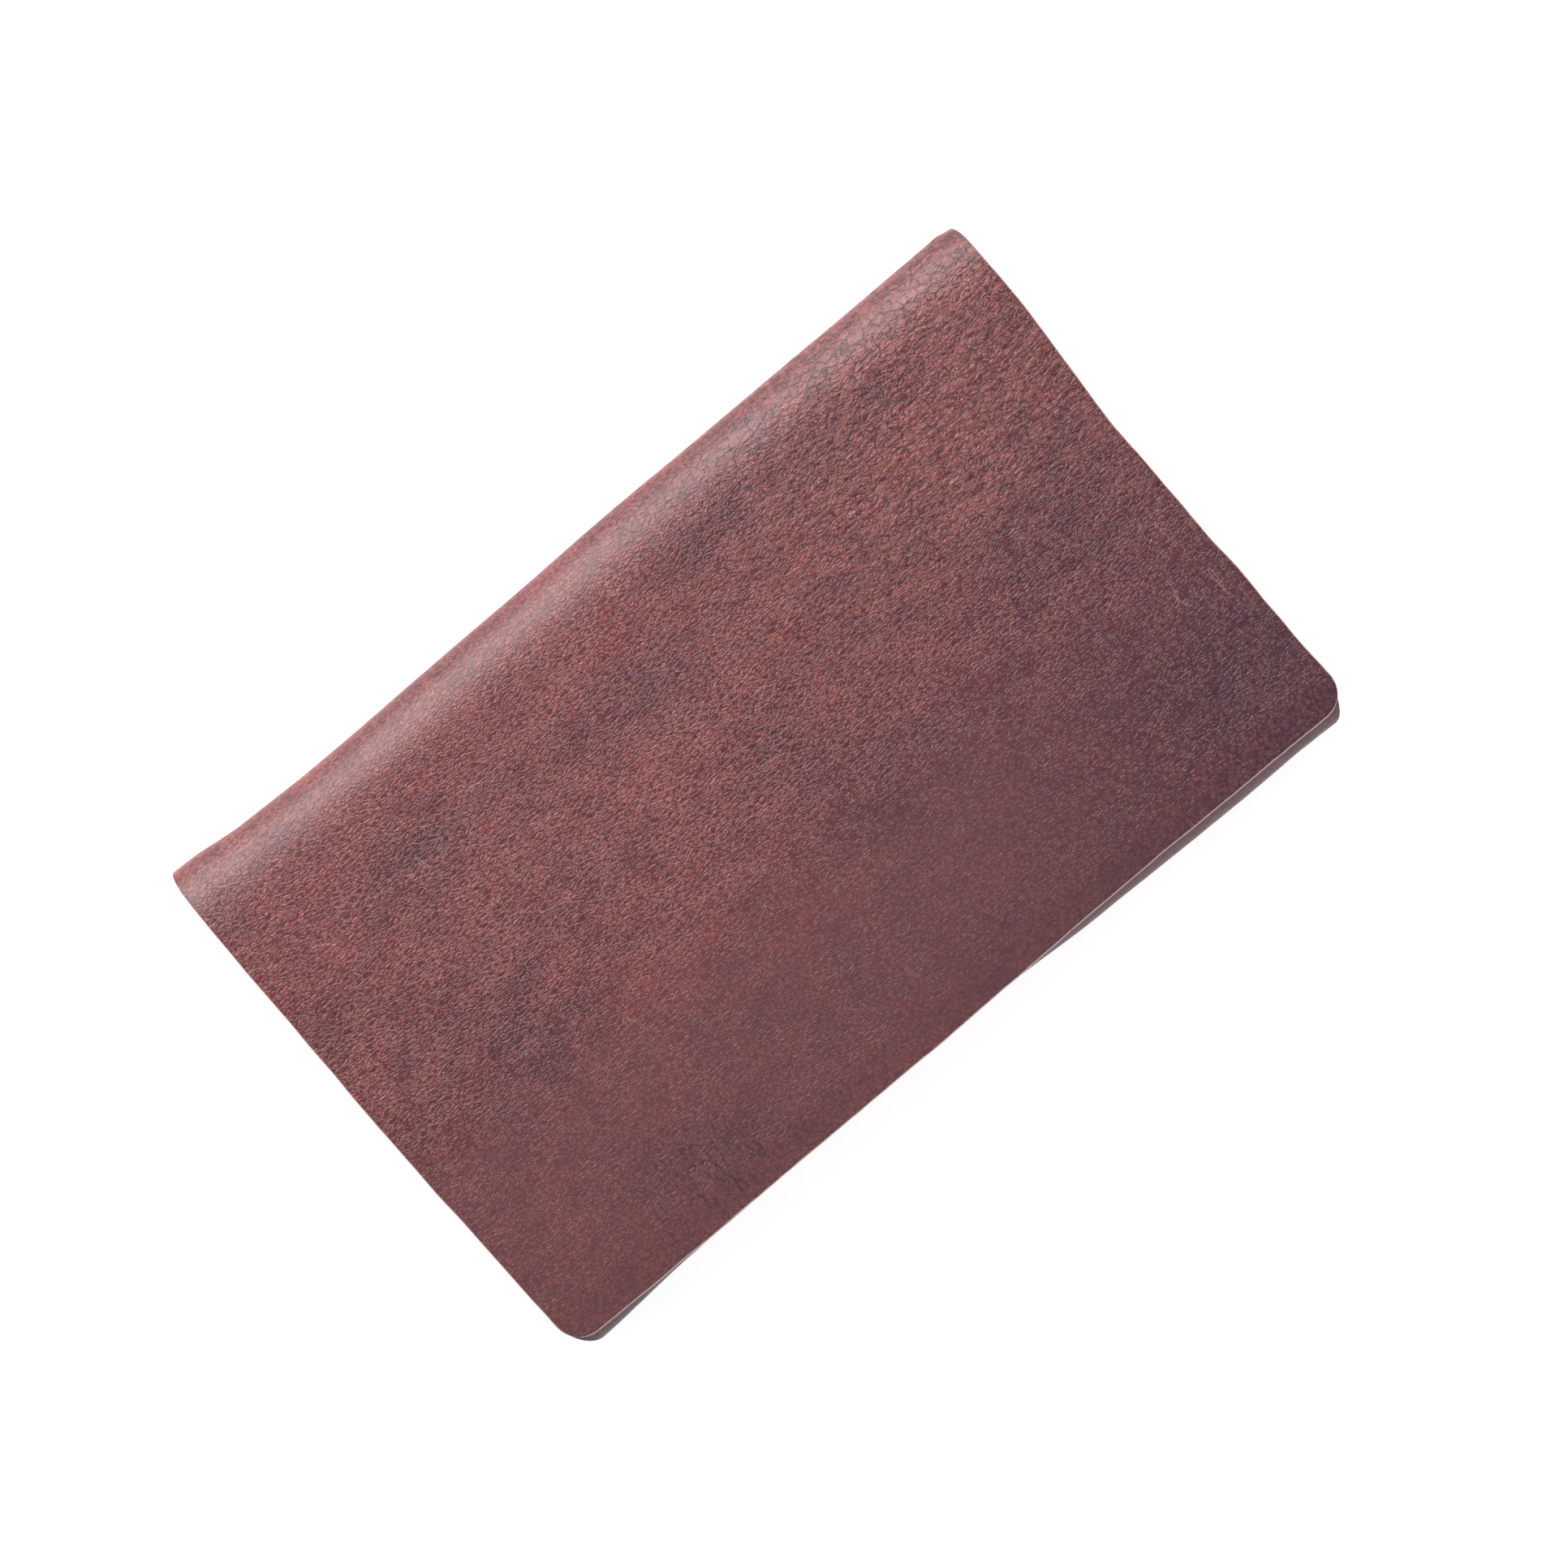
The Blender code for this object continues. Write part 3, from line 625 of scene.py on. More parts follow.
def build_slots(materials):
    """Two stepped banks of three card slots. Only the nearest of each is sewn along its side."""
    for side, sign in (("left", -1), ("right", 1)):
        seams = {
            "away": lambda x, y: np.abs(np.abs(x) - CARD_SEAM_X), "x": (sign * CARD_SEAM_X,), "y": ()}
        for row in (1, 2, 3):
            node = f"card_slot_{side}_{row}"
            tail = None if row == 3 else (SLOT_TAIL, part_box(node)[1].y - SLOT_HEAD)
            made = plate(
                f"{node}_leather", node, materials, "back", lip=True, tail=tail,
                seams=seams if row == 3 else None)


def build_front_pocket(materials):
    """The wall of the open pocket, sewn to the tucked panel along three sides."""
    u_shape = loop_distance(SEAM_X, SEAM_BOTTOM + 1, 1)  # so tall that its top is out of reach
    made = plate(
        "front_pocket_leather", "front_pocket_wall", materials, "front", grain_up=False, lip=True,
        seams={"away": u_shape, "x": (-SEAM_X, SEAM_X), "y": (SEAM_BOTTOM,)})


def build_tapes(materials):
    """The zip's two tapes."""
    for side in ("lower", "upper"):
        made = plate(f"zip_tape_{side}_cloth", f"zip_tape_{side}", materials, "back")


def stitch_places(corners, closed=False):
    """The middle and direction of each stitch along straight runs from corner to corner."""
    places = []
    for start, stop in zip(corners, corners[1:] + (corners[:1] if closed else [])):
        run = Vector(stop) - Vector(start)
        count = max(1, round(run.length / STITCH_PITCH))
        for i in range(count):
            middle = Vector(start) + run * ((i + 0.5) / count)
            places.append((*middle, *run.normalized()))
    return places


def tube_faces(first, rings, sides):
    """The faces of a capped tube, whose rings of points follow one another from first."""
    faces = []
    for ring in range(rings - 1):
        start = first + ring * sides
        for k in range(sides):
            a, b = start + k, start + (k + 1) % sides
            faces.append((a, b, b + sides, a + sides))
    last = first + (rings - 1) * sides
    faces.append(tuple(range(first + sides - 1, first - 1, -1)))
    faces.append(tuple(range(last, last + sides)))
    return faces


def sewing(name, node, places, surface, material, body, seed):
    """Stitches as short lengths of thread that dip into their holes at both ends.

    surface gives the points of the leather, and its outward directions, at places on it.
    """
    random = np.random.RandomState(seed)
    t = np.linspace(-1, 1, STITCH_RINGS)
    rise = STITCH_RADIUS * (0.75 - 1.55 * t ** 6)
    radius = STITCH_RADIUS * np.sqrt(1 - 0.7 * t ** 6)
    angles = np.arange(STITCH_SIDES) * 2 * math.pi / STITCH_SIDES
    points, faces, sheet = [], [], []
    for x, y, run_x, run_y in places:
        lean = STITCH_LEAN + random.normal(0, 0.02)
        long = STITCH_LONG / 2 * (1 + random.normal(0, 0.03))
        ux, uy = run_x - lean * run_y, run_y + lean * run_x
        base, out = surface(x + ux * long * t, y + uy * long * t)
        ahead = np.gradient(base, axis=0)
        side = np.cross(out, ahead)
        side /= np.linalg.norm(side, axis=1)[:, None]
        faces += tube_faces(len(points), STITCH_RINGS, STITCH_SIDES)
        for ring in range(STITCH_RINGS):
            for angle in angles:
                reach = out[ring] * (rise[ring] + radius[ring] * math.sin(angle))
                points.append(base[ring] + reach + side[ring] * radius[ring] * math.cos(angle))
                sheet.append((t[ring] * long, angle / (2 * math.pi) * MM, 0))
    made = make_object(name, points, faces, [material], sheet=sheet, sharp=180)
    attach(made, body)
    if node:
        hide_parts(node)


def layer(level, sign):
    """A flat layer's surface, for stitches: at that level, facing up or down, in its groove."""
    def surface(x, y):
        z = level + rumple(x, y) - sign * GROOVE_DEPTH
        return np.stack([x, y, z], -1), np.tile((0.0, 0.0, float(sign)), (len(x), 1))
    return surface


def shell_outside(x, s):
    """The shell's outer surface, for stitches."""
    outer, _, out = shell_sides(x, s)
    return outer, out


def rectangle(half_x, y_low, y_high):
    """The stitches round a rectangle that is centred along x."""
    return stitch_places(
        [(-half_x, y_low), (half_x, y_low), (half_x, y_high), (-half_x, y_high)], closed=True)


def build_pocket_stitches(thread):
    """The stitches that hold the pocket wall and the zip, and show on the back panel too."""
    surface = layer(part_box("pocket_wall")[1].z, 1)
    loop = rectangle(SEAM_X, SEAM_BOTTOM, SEAM_TOP)
    sewing("pocket_stitches", "pocket_stitching", loop, surface, thread, "back", 71)
    sewing("back_stitches", None, loop, shell_outside, thread, "back", 72)
    zip_loop = rectangle(ZIP_SEAM_X, ZIP_Y - ZIP_SEAM_HALF, ZIP_Y + ZIP_SEAM_HALF)
    sewing("zip_stitches", "zip_stitching", zip_loop, surface, thread, "back", 73)


def build_card_stitches(thread):
    """The stitches between the two banks of card slots, and along their outer sides."""
    low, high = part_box("card_centre_stitching")
    centre = stitch_places([(0, low.y), (0, high.y)])
    surface = layer(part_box("pocket_wall")[1].z + GROOVE_DEPTH, 1)  # no groove is drawn here
    sewing("card_centre_stitches", "card_centre_stitching", centre, surface, thread, "back", 74)
    low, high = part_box("card_edge_stitching_left")
    surface = layer(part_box("card_slot_left_3")[1].z, 1)
    for side, sign in (("left", -1), ("right", 1)):
        run = stitch_places([(sign * CARD_SEAM_X, low.y), (sign * CARD_SEAM_X, high.y)])
        name, node = f"card_edge_stitches_{side}", f"card_edge_stitching_{side}"
        sewing(name, node, run, surface, thread, "back", 75 + sign)


def build_front_stitches(thread):
    """The stitches round three sides of the open pocket, on both faces of the tucked panel."""
    top, bottom = FRONT_SEAM_TOP, SEAM_BOTTOM
    u_shape = [(-SEAM_X, top), (-SEAM_X, bottom), (SEAM_X, bottom), (SEAM_X, top)]
    surface = layer(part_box("front_pocket_wall")[0].z, -1)
    run = stitch_places(u_shape)
    sewing("front_pocket_stitches", "front_pocket_stitching", run, surface, thread, "front", 78)
    outside = stitch_places([(x, S_FRONT + Y_BOTTOM - y) for x, y in u_shape])
    sewing("front_stitches", None, outside, shell_outside, thread, "front", 79)


def tooth(side, half_long):
    """One zip tooth's points and faces, about its own middle: a waisted block with a round head."""
    plan = list(TOOTH_PLAN) + [(-x, y) for x, y in reversed(TOOTH_PLAN[:-1])]
    points = []
    for level, inset in TOOTH_LEVELS:
        for x, y in plan:
            points.append((x * half_long * inset, side * (y - 0.5) * inset + side * 0.5, level))
    faces = tube_faces(0, len(TOOTH_LEVELS), len(plan))
    if side > 0:
        faces = [face[::-1] for face in faces]
    return points, faces


def build_teeth(brass):
    """The two rows of teeth, half a pitch apart."""
    for side, name in ((-1, "lower"), (1, "upper")):
        node = f"zip_teeth_{name}"
        low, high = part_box(node)
        reach = high.y - low.y
        middle, half = (low.z + high.z) / 2, (high.z - low.z) / 2
        tip = low.y if side > 0 else high.y
        shape, ring = tooth(side, TOOTH_LONG / 2)
        points, faces = [], []
        first = low.x + TOOTH_LONG / 2 + (0 if side < 0 else TOOTH_PITCH / 2)
        for i in range(int((high.x - low.x - TOOTH_LONG) / TOOTH_PITCH)):
            start = len(points)
            x = first + i * TOOTH_PITCH
            points += [(x + px, tip + py * reach, middle + pz * half) for px, py, pz in shape]
            faces += [tuple(start + vertex for vertex in face) for face in ring]
        made = make_object(f"zip_teeth_{name}_metal", points, faces, [brass], sharp=METAL_ANGLE)
        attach(made, "back")
        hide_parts(node)


def finish_zip_metal(brass):
    """Brass and bevels for the CAD model's slider, pull and stops."""
    stops = ("zip_top_stop_lower", "zip_top_stop_upper", "zip_bottom_stop")
    for node in ("zip_slider", "zip_pull") + stops:
        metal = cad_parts[node]
        metal.data.materials.clear()
        metal.data.materials.append(brass)
        bevel = metal.modifiers.new("bevel", "BEVEL")
        bevel.width = METAL_BEVEL
        bevel.segments = 3
        bevel.limit_method = "ANGLE"
        bevel.angle_limit = math.radians(METAL_ANGLE)
        bevel.harden_normals = True


# ---- materials

class Finish:
    """A material under construction, with short ways to add its nodes."""

    def __init__(
            self, name, roughness=0.5, specular=0.5, coat=0.0, coat_roughness=0.3, metallic=0.0):
        self.material = bpy.data.materials.new(name)
        self.material.use_nodes = True
        self.tree = self.material.node_tree
        self.shader = self.tree.nodes["Principled BSDF"]
        self.shader.inputs["Roughness"].default_value = roughness
        self.shader.inputs["Specular IOR Level"].default_value = specular
        self.shader.inputs["Coat Weight"].default_value = coat
        self.shader.inputs["Coat Roughness"].default_value = coat_roughness
        self.shader.inputs["Metallic"].default_value = metallic

    def node(self, kind, inputs=(), output=0, **settings):
        """A new node's output, with its inputs given by name or number."""
        made = self.tree.nodes.new("ShaderNode" + kind)
        for key, value in settings.items():
            setattr(made, key, value)
        for key, value in dict(inputs).items():
            if isinstance(value, bpy.types.NodeSocket):
                self.tree.links.new(value, made.inputs[key])
            else:
                made.inputs[key].default_value = value
        return made.outputs[output]

    def link(self, value, name):
        """Feed a value to the shader."""
        self.tree.links.new(value, self.shader.inputs[name])

    def sheet(self):
        """The place on the flat leather, in millimetres: x, and y as it is on the flap."""
        place = self.node("Attribute", attribute_name="sheet", output=1)
        return self.vector("SCALE", place, scale=1000.0)

    def solid(self):
        """The place in the object's own space, in millimetres."""
        place = self.node("TexCoord", output=3)
        return self.vector("SCALE", place, scale=1000.0)

    def axes(self, place):
        """The first two numbers of a place."""
        split = self.node("SeparateXYZ", {0: place})
        return split.node.outputs[0], split.node.outputs[1]

    def vector(self, operation, a, b=None, scale=None):
        """The result of an operation on vectors."""
        inputs = {0: a}
        if b is not None:
            inputs[1] = b
        if scale is not None:
            inputs["Scale"] = scale
        return self.node("VectorMath", inputs, operation=operation)

    def math(self, operation, a, b=0.0, clamp=False):
        """The result of an operation on two numbers."""
        return self.node("Math", {0: a, 1: b}, operation=operation, use_clamp=clamp)

    def add(self, *values):
        """The sum of several numbers."""
        total = values[0]
        for value in values[1:]:
            total = self.math("ADD", total, value)
        return total

    def times(self, *values):
        """The product of several numbers."""
        total = values[0]
        for value in values[1:]:
            total = self.math("MULTIPLY", total, value)
        return total

    def weighted(self, *pairs):
        """The sum of several numbers, each times its weight."""
        return self.add(*[self.times(value, weight) for value, weight in pairs])

    def rest(self, value):
        """What is left of 1 beside a share, and at least nothing."""
        return self.math("SUBTRACT", 1.0, value, clamp=True)

    def share(self, value):
        """A number held between 0 and 1."""
        return self.math("MULTIPLY", value, 1.0, clamp=True)

    def scaled(self, place, size, stretch, shift):
        """A place in units of a pattern's size, moved so that no two patterns match."""
        moved = self.vector("MULTIPLY_ADD", place, [1 / (size * part) for part in stretch])
        moved.node.inputs[2].default_value = (shift, shift * 0.7, shift * 1.3)
        return moved

    def noise(self, place, size, detail=2.0, rough=0.5, stretch=(1, 1, 1), shift=0.0, bend=0.0):
        """Noise from 0 to 1, with features about as wide as size, in millimetres."""
        inputs = {
            "Vector": self.scaled(place, size, stretch, shift),
            "Scale": 1.0, "Detail": detail, "Roughness": rough, "Distortion": bend}
        return self.node("TexNoise", inputs)

    def cells(self, place, size, feature="DISTANCE_TO_EDGE", stretch=(1, 1, 1), shift=0.0):
        """Cells about as wide as size: the distance to the nearest edge, or to the middle."""
        inputs = {"Vector": self.scaled(place, size, stretch, shift), "Scale": 1.0}
        return self.node("TexVoronoi", inputs, feature=feature)

    def span(self, value, low, high, to_low=0.0, to_high=1.0):
        """A smooth ramp of a value from one range to another, level beyond its ends."""
        return self.node(
            "MapRange", {0: value, 1: low, 2: high, 3: to_low, 4: to_high},
            interpolation_type="SMOOTHSTEP")

    def ridge(self, value, width=0.12):
        """1 along the line where noise crosses its middle, falling to 0 away from it."""
        away = self.math("ABSOLUTE", self.math("SUBTRACT", value, 0.5))
        return self.span(away, 0.0, width, 1.0, 0.0)

    def spot(self, place, centre, size, low=0.25, high=1.0):
        """A soft patch, 1 in its middle, on the sheet."""
        away = self.vector("SUBTRACT", place, (*centre, 0))
        scaled = self.vector("MULTIPLY", away, (1 / size[0], 1 / size[1], 0))
        length = self.node("VectorMath", {0: scaled}, output=1, operation="LENGTH")
        return self.span(length, low, high, 1.0, 0.0)

    def mix(self, share, a, b):
        """A colour between two."""
        made = self.tree.nodes.new("ShaderNodeMix")
        made.data_type = "RGBA"
        made.clamp_factor = True
        for key, value in ((0, share), (6, a), (7, b)):
            if isinstance(value, bpy.types.NodeSocket):
                self.tree.links.new(value, made.inputs[key])
            elif key == 0:
                made.inputs[key].default_value = value
            else:
                made.inputs[key].default_value = (*value, 1.0)
        return made.outputs[2]

    def relief(self, height):
        """A surface's fine shape, from its height in millimetres."""
        bump = self.node("Bump", {"Height": height, "Distance": MM, "Strength": 1.0})
        self.link(bump, "Normal")


def warped(finish, place, size, amount):
    """The same place, pushed about by noise so that no pattern runs straight."""
    scaled = finish.vector("SCALE", place, scale=1 / size)
    push = finish.node("TexNoise", {"Vector": scaled, "Scale": 1.0, "Detail": 2.0}, output=1)
    centred = finish.vector("SUBTRACT", push, (0.5, 0.5, 0.5))
    return finish.vector("ADD", place, finish.vector("SCALE", centred, scale=amount))


def leather_zones(finish, place):
    """Shares that say where on the sheet the leather is coarse, creased, worn smooth or dark.

    Places are in millimetres, as on the flap. From 164 to 174 along, the bottom fold begins.
    """
    across, along = finish.axes(place)
    return {
        "top_right": finish.times(
            finish.span(across, 2, 60), finish.span(along, -6, 24), finish.span(along, 84, 68)),
        "corner": finish.spot(place, (81, -41), (22, 18), 0.1),
        "cluster": finish.spot(place, (-54, -48), (19, 16), 0.1),
        "fold": finish.times(finish.span(along, 40, 52), finish.span(along, 74, 64)),
        "highlight": finish.times(finish.span(along, 43, 52), finish.span(along, 70, 62)),
        "smooth": finish.times(finish.span(along, 4, -28), finish.span(across, 75, 25, 0.35, 1.0)),
        # lower_right and bottom_fold also place the painted purple shade
        "lower_right": finish.times(finish.span(across, -40, 95), finish.span(along, 35, -45)),
        "bottom_fold": finish.span(along, 164, 174),
        # where the painted shadow on the bottom fold's left end lies
        "fold_left_shadow": finish.span(across, -62, -76),
        "pull": finish.noise(place, 19, detail=4, rough=0.55, stretch=(1.7, 1, 1), shift=3.1),
    }


def leather_grain(finish, place, bent, zone):
    """Pebbles with fine cells between, a net, ridges along the folds and wrinkles across them."""
    pebble = finish.span(finish.cells(bent, 1.45, stretch=(1.5, 1, 1)), 0.0, 0.12)
    middle = finish.cells(bent, 1.3, "F1", stretch=(2.0, 1, 1), shift=19.0)
    fine = finish.span(finish.cells(bent, 0.64, stretch=(2.1, 1, 1), shift=4.0), 0.0, 0.26)
    net = finish.span(finish.cells(bent, 0.96, stretch=(2.3, 1, 1), shift=15.0), 0.13, 0.0)
    worn = finish.span(finish.noise(place, 6, detail=4, rough=0.6, shift=21.0), 0.36, 0.60, 0.35, 1.0)
    ridges = finish.noise(bent, 2.1, detail=2, stretch=(4.0, 1, 1), shift=7.7, bend=0.5)
    wrinkles = finish.noise(bent, 1.7, detail=1, stretch=(1, 6.0, 1), shift=2.2)

    pulled = finish.span(zone["pull"], 0.42, 0.62)
    rough = finish.rest(finish.weighted((zone["smooth"], 0.45), (zone["bottom_fold"], 0.6)))
    plain = finish.rest(finish.weighted(
        (zone["top_right"], 0.4), (zone["lower_right"], 0.5), (zone["smooth"], 0.3)))
    coarse = finish.add(0.25, finish.weighted(
        (zone["top_right"], 0.70), (zone["corner"], 0.5), (zone["fold"], 0.10), (pulled, 0.15)))
    ridged = finish.add(zone["top_right"], 0.20)
    wrinkled = finish.weighted((zone["fold"], 0.15), (zone["cluster"], 1.1))
    return {
        "creases": finish.times(finish.rest(pebble), coarse, rough),
        "domes": finish.times(finish.span(middle, 0.1, 0.8, 1.0, 0.0), zone["top_right"]),
        "fine": finish.times(fine, rough),
        "pits": finish.times(finish.rest(fine), rough),
        "net": finish.times(net, worn, rough, plain),
        "powder": finish.noise(place, 0.30, detail=3, rough=0.6),
        "ridges": finish.times(finish.ridge(ridges, 0.07), ridged, rough),
        "wrinkles": finish.times(finish.ridge(wrinkles, 0.045), wrinkled),
    }


def wax_and_painted_shade(finish, place, bent, veil, zone):
    """The share of dark wax, together with painted shade that darkens the flap towards its lower
    edge, away from the key light.
    """
    _, along = finish.axes(place)
    dark = finish.weighted(
        (finish.span(zone["pull"], 0.40, 0.66), 0.40), (finish.span(veil, 0.38, 0.66), 0.30),
        # painted shade: darker towards the flap's lower edge, away from the key light
        (finish.span(along, 22, -55), 0.24))
    clouds = finish.noise(bent, 6.5, detail=5, rough=0.62, shift=27.0)
    ragged = finish.span(clouds, 0.30, 0.62, 0.25, 1.5)
    for centre, size, amount in DARK_PATCHES:
        patch = finish.spot(place, centre, size, 0.0)
        dark = finish.add(dark, finish.times(patch, amount, ragged))
    for centre, size, amount in PALE_PATCHES:
        patch = finish.spot(place, centre, size, 0.0)
        dark = finish.add(dark, finish.times(patch, -amount))
    return finish.share(dark)


def leather_colour(finish, place, bent, veil, zone, grain):
    """A warm red brown, dark where the wax gathers and paler where the grain is rubbed. Painted shade
    and highlight are laid on too: darker towards the flap's lower edge, a purple shade at the lower
    right and on the bottom fold, a shadow on the bottom fold's left end, and grain hollows and tops
    that are partly shaded and lit in colour.
    """
    # painted shade: a darker bluish purple at the lower right, its corner and the bottom fold, for
    # the weaker key light and the cool fill there
    purple_shade = finish.weighted(
        (zone["lower_right"], 0.90), (zone["corner"], 0.25), (zone["bottom_fold"], 0.8))
    # dark in the grain's pits, creases and wrinkles: partly wax gathered there, partly painted shade
    # standing in for the relief's shading
    hollow_wax_and_shade = finish.weighted(
        (grain["pits"], 0.62), (grain["creases"], 0.50), (grain["wrinkles"], 0.50))
    hairline = finish.ridge(
        finish.noise(place, 5, detail=1, stretch=(0.5, 2.2, 1), shift=33.0), 0.010)
    scratches = finish.times(hairline, finish.spot(place, (88, -20), (12, 26), 0.3))
    pores = finish.span(finish.cells(place, 1.0, "F1", shift=11.0), 0.06, 0.18, 1.0, 0.0)
    wax_and_shade = wax_and_painted_shade(finish, place, bent, veil, zone)
    colour = finish.mix(wax_and_shade, WARM, DARK)
    for amount, over in (
        # painted bluish shade
        (purple_shade, SHADE_PURPLE),
        # painted shadow on the left end of the bottom fold, under the flap's edge
        (finish.times(zone["bottom_fold"], zone["fold_left_shadow"]), DEEP),
        (finish.times(zone["smooth"], 0.50), DRY),
        # pale tops of the fine cells: partly rubbed grain, partly painted highlight
        (finish.times(grain["fine"], finish.span(veil, 0.62, 0.40), 0.20), TAN),
        # wax in the hollows and painted shade
        (hollow_wax_and_shade, DEEP),
        (finish.times(grain["net"], 0.42), TAN),
        # pale ridge crests: partly rubbed grain, partly painted highlight
        (finish.times(grain["ridges"], 0.26), TAN),
        (finish.times(scratches, 0.16), EDGE_PALE),
        (finish.times(pores, 0.45), DEEP),
    ):
        colour = finish.mix(amount, colour, over)
    return colour


def shell_leather():
    """Waxed, pulled-up full grain, with the wear and creases that the photograph shows."""
    finish = Finish("shell_leather", specular=0.44, coat=0.06, coat_roughness=0.24)
    place = finish.sheet()
    bent = warped(finish, warped(finish, place, 3.2, 1.0), 0.9, 0.20)
    veil = finish.noise(bent, 5, detail=5, rough=0.66, stretch=(1.6, 1, 1), shift=9.4)
    zone = leather_zones(finish, place)
    grain = leather_grain(finish, place, bent, zone)
    height = finish.weighted(*[(grain[part], height) for part, height in GRAIN_HEIGHTS.items()])
    lively = finish.rest(finish.times(zone["highlight"], 0.60))  # the highlight stays calm
    finish.relief(finish.weighted((height, lively), (grain["wrinkles"], WRINKLE_HEIGHT)))
    finish.link(leather_colour(finish, place, bent, veil, zone, grain), "Base Color")
    dull = finish.weighted((veil, 0.10), (grain["creases"], 0.12))
    finish.link(finish.add(0.29, dull), "Roughness")
    return finish.material


def flesh():
    """The leather's unfinished inner side: short, matted nap."""
    finish = Finish("flesh_side", roughness=0.9, specular=0.2)
    place = finish.sheet()
    nap = finish.noise(place, 0.5, detail=4, rough=0.7)
    broad = finish.noise(place, 14, detail=3, shift=5.0)
    share = finish.weighted((nap, 0.6), (broad, 0.4))
    finish.link(finish.mix(share, FLESH_DARK, FLESH_PALE), "Base Color")
    finish.relief(finish.times(nap, 0.10))
    return finish.material


def raw_edge():
    """The cut edge, paler and fibrous."""
    finish = Finish("raw_edge", roughness=0.8, specular=0.3)
    place = finish.sheet()
    fibres = finish.noise(place, 0.35, detail=3, rough=0.7)
    finish.link(finish.mix(fibres, EDGE_DARK, EDGE_PALE), "Base Color")
    finish.relief(finish.times(fibres, 0.08))
    return finish.material


def lining_leather(name, colours):
    """Thinner, plainer leather for the pockets and card slots."""
    pale, dark = colours
    finish = Finish(name, specular=0.3)
    place = finish.sheet()
    bent = warped(finish, place, 1.4, 0.5)
    grain = finish.span(finish.cells(bent, 0.95, stretch=(1.2, 1, 1)), 0.0, 0.3)
    broad = finish.noise(place, 22, detail=4, shift=6.6)
    rub = finish.span(finish.noise(place, 9, detail=4, shift=8.8), 0.5, 0.75)
    colour = finish.mix(finish.span(broad, 0.35, 0.65), pale, dark)
    colour = finish.mix(finish.times(rub, 0.3), colour, TAN)
    colour = finish.mix(finish.times(finish.rest(grain), 0.35), colour, DEEP)
    finish.link(colour, "Base Color")
    finish.link(finish.add(0.5, finish.times(broad, 0.15)), "Roughness")
    powder = finish.noise(place, 0.3)
    finish.relief(finish.weighted((grain, 0.035), (powder, 0.012)))
    return finish.material


def painted_edge():
    """A cut edge under dark edge paint."""
    finish = Finish("painted_edge", roughness=0.45, specular=0.4)
    coat = finish.noise(finish.sheet(), 2.0, detail=3)
    finish.link(finish.mix(coat, DEEP, DARK), "Base Color")
    return finish.material


def woven_tape():
    """The zip's tape: fine ribs of polyester."""
    finish = Finish("woven_tape", roughness=0.8, specular=0.25)
    along, across = finish.axes(finish.sheet())
    ribs = finish.math("SINE", finish.times(along, 2 * math.pi / RIB_PITCH))
    rows = finish.math("SINE", finish.times(across, 2 * math.pi / (RIB_PITCH * 1.3)))
    weave = finish.times(ribs, rows)
    shade = finish.span(weave, -1.0, 1.0)
    finish.link(finish.mix(shade, TAPE_DARK, TAPE_PALE), "Base Color")
    finish.relief(finish.times(weave, 0.04))
    return finish.material


def waxed_thread():
    """Bonded thread, with its plies twisted round one another."""
    finish = Finish("waxed_thread", roughness=0.5, specular=0.4)
    along, round_it = finish.axes(finish.sheet())
    turn = finish.weighted((along, 1 / PLY_PITCH), (round_it, 2.0))
    ply = finish.math("SINE", finish.times(turn, 2 * math.pi))
    shade = finish.span(ply, -1.0, 0.6)
    finish.link(finish.mix(shade, THREAD_DARK, THREAD_PALE), "Base Color")
    finish.relief(finish.times(ply, 0.03))
    return finish.material


def antique_brass():
    """Brass, darkened where hands don't rub it."""
    finish = Finish("antique_brass", metallic=1.0)
    place = finish.solid()
    tarnish = finish.span(finish.noise(place, 1.6, detail=5, rough=0.6), 0.38, 0.68)
    finish.link(finish.mix(finish.times(tarnish, 0.7), BRASS, BRASS_DARK), "Base Color")
    finish.link(finish.add(0.36, finish.times(tarnish, 0.22)), "Roughness")
    finish.relief(finish.times(finish.noise(place, 0.4, detail=3), 0.006))
    return finish.material


# ---- the studio

def build_studio():
    """A pale floor, a large soft light from the top fold's side and a weak one from the other."""
    mesh = bpy.data.meshes.new("floor")
    side = FLOOR_HALF
    corners = [(-side, -side, 0), (side, -side, 0), (side, side, 0), (-side, side, 0)]
    mesh.from_pydata(corners, [], [(0, 1, 2, 3)])
    floor = add_object("floor", mesh)
    finish = Finish("floor", roughness=0.9, specular=0.1)
    finish.shader.inputs["Base Color"].default_value = (*FLOOR_COLOUR, 1)
    finish.shader.inputs["Emission Color"].default_value = (1, 1, 1, 1)
    finish.shader.inputs["Emission Strength"].default_value = FLOOR_GLOW
    mesh.materials.append(finish.material)

    build_lamp("key", KEY_PLACE, KEY_SIZE, KEY_POWER, KEY_COLOUR)
    build_lamp("bounce", BOUNCE_PLACE, BOUNCE_SIZE, BOUNCE_POWER, FILL_COLOUR)
    bpy.context.scene.view_settings.view_transform = "Standard"
    build_world()


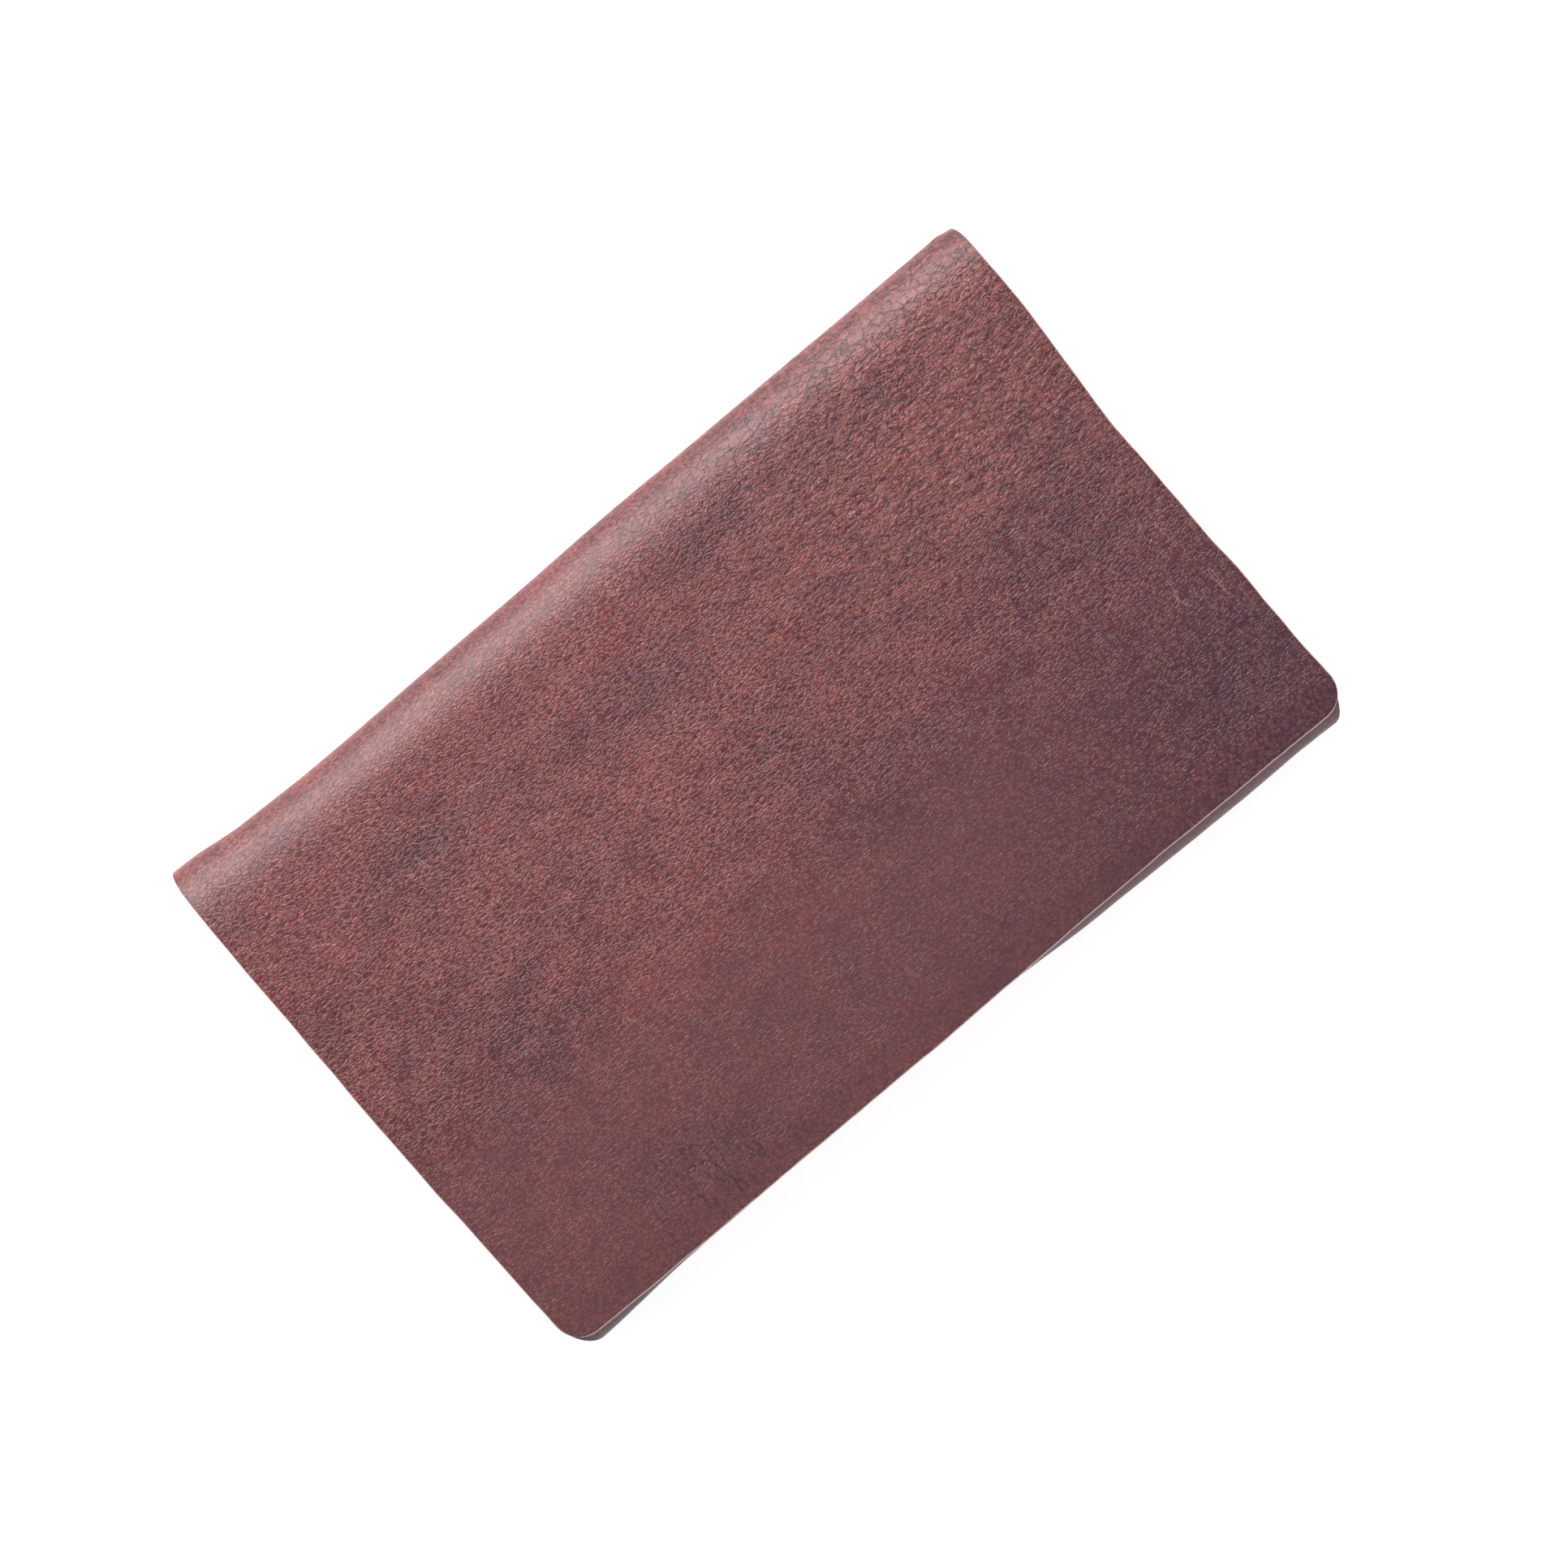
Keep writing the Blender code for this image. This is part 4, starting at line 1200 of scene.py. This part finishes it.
def build_lamp(name, place, size, power, colour):
    """A soft, rectangular light that faces the wallet."""
    lamp = bpy.data.lights.new(name, "AREA")
    lamp.shape = "RECTANGLE"
    lamp.size, lamp.size_y = size
    lamp.energy = power
    lamp.color = colour
    made = add_object(name, lamp)
    made.location = place
    made.rotation_euler = (-Vector(place)).to_track_quat("-Z", "Y").to_euler()


def build_world():
    """White studio walls, bright up to a height and dim overhead."""
    world = bpy.data.worlds.new("world")
    bpy.context.scene.world = world
    world.use_nodes = True
    tree = world.node_tree
    direction = tree.nodes.new("ShaderNodeTexCoord")
    split = tree.nodes.new("ShaderNodeSeparateXYZ")
    ramp = tree.nodes.new("ShaderNodeMapRange")
    ramp.interpolation_type = "SMOOTHSTEP"
    for number, value in enumerate((*WALL_TOP, WALL_POWER, FILL_POWER), 1):
        ramp.inputs[number].default_value = value
    background = tree.nodes["Background"]
    background.inputs["Color"].default_value = (*FILL_COLOUR, 1)
    tree.links.new(direction.outputs["Generated"], split.inputs[0])
    tree.links.new(split.outputs[2], ramp.inputs[0])
    tree.links.new(ramp.outputs[0], background.inputs["Strength"])


def build_camera():
    """The camera looks straight on to the flap, rolled as the photograph is."""
    lens = bpy.data.cameras.new("camera")
    lens.lens = LENS
    lens.sensor_width = SENSOR
    lens.clip_start = 0.01
    camera = add_object("camera", lens)
    right = Vector((math.cos(VIEW_ROLL), -math.sin(VIEW_ROLL), 0))
    up = Vector((math.sin(VIEW_ROLL), math.cos(VIEW_ROLL), 0))
    middle = right * VIEW_OFFSET[0] + up * VIEW_OFFSET[1]
    away = FRAME_WIDTH * LENS / SENSOR
    camera.location = (middle.x, middle.y, FLAP_HIGH.z + away)
    camera.rotation_euler = (0, 0, -VIEW_ROLL)
    bpy.context.scene.camera = camera


# ---- everything

nap, paint = flesh(), painted_edge()
build_shell((shell_leather(), nap, raw_edge()))
pocket_finish = (lining_leather("pocket_leather", POCKET_COLOURS), nap, paint)
build_pocket(pocket_finish)
build_slots((lining_leather("slot_leather", SLOT_COLOURS), nap, paint))
build_front_pocket(pocket_finish)
build_tapes((woven_tape(),) * 3)
thread = waxed_thread()
build_pocket_stitches(thread)
build_card_stitches(thread)
build_front_stitches(thread)
brass = antique_brass()
build_teeth(brass)
finish_zip_metal(brass)
build_studio()
build_camera()
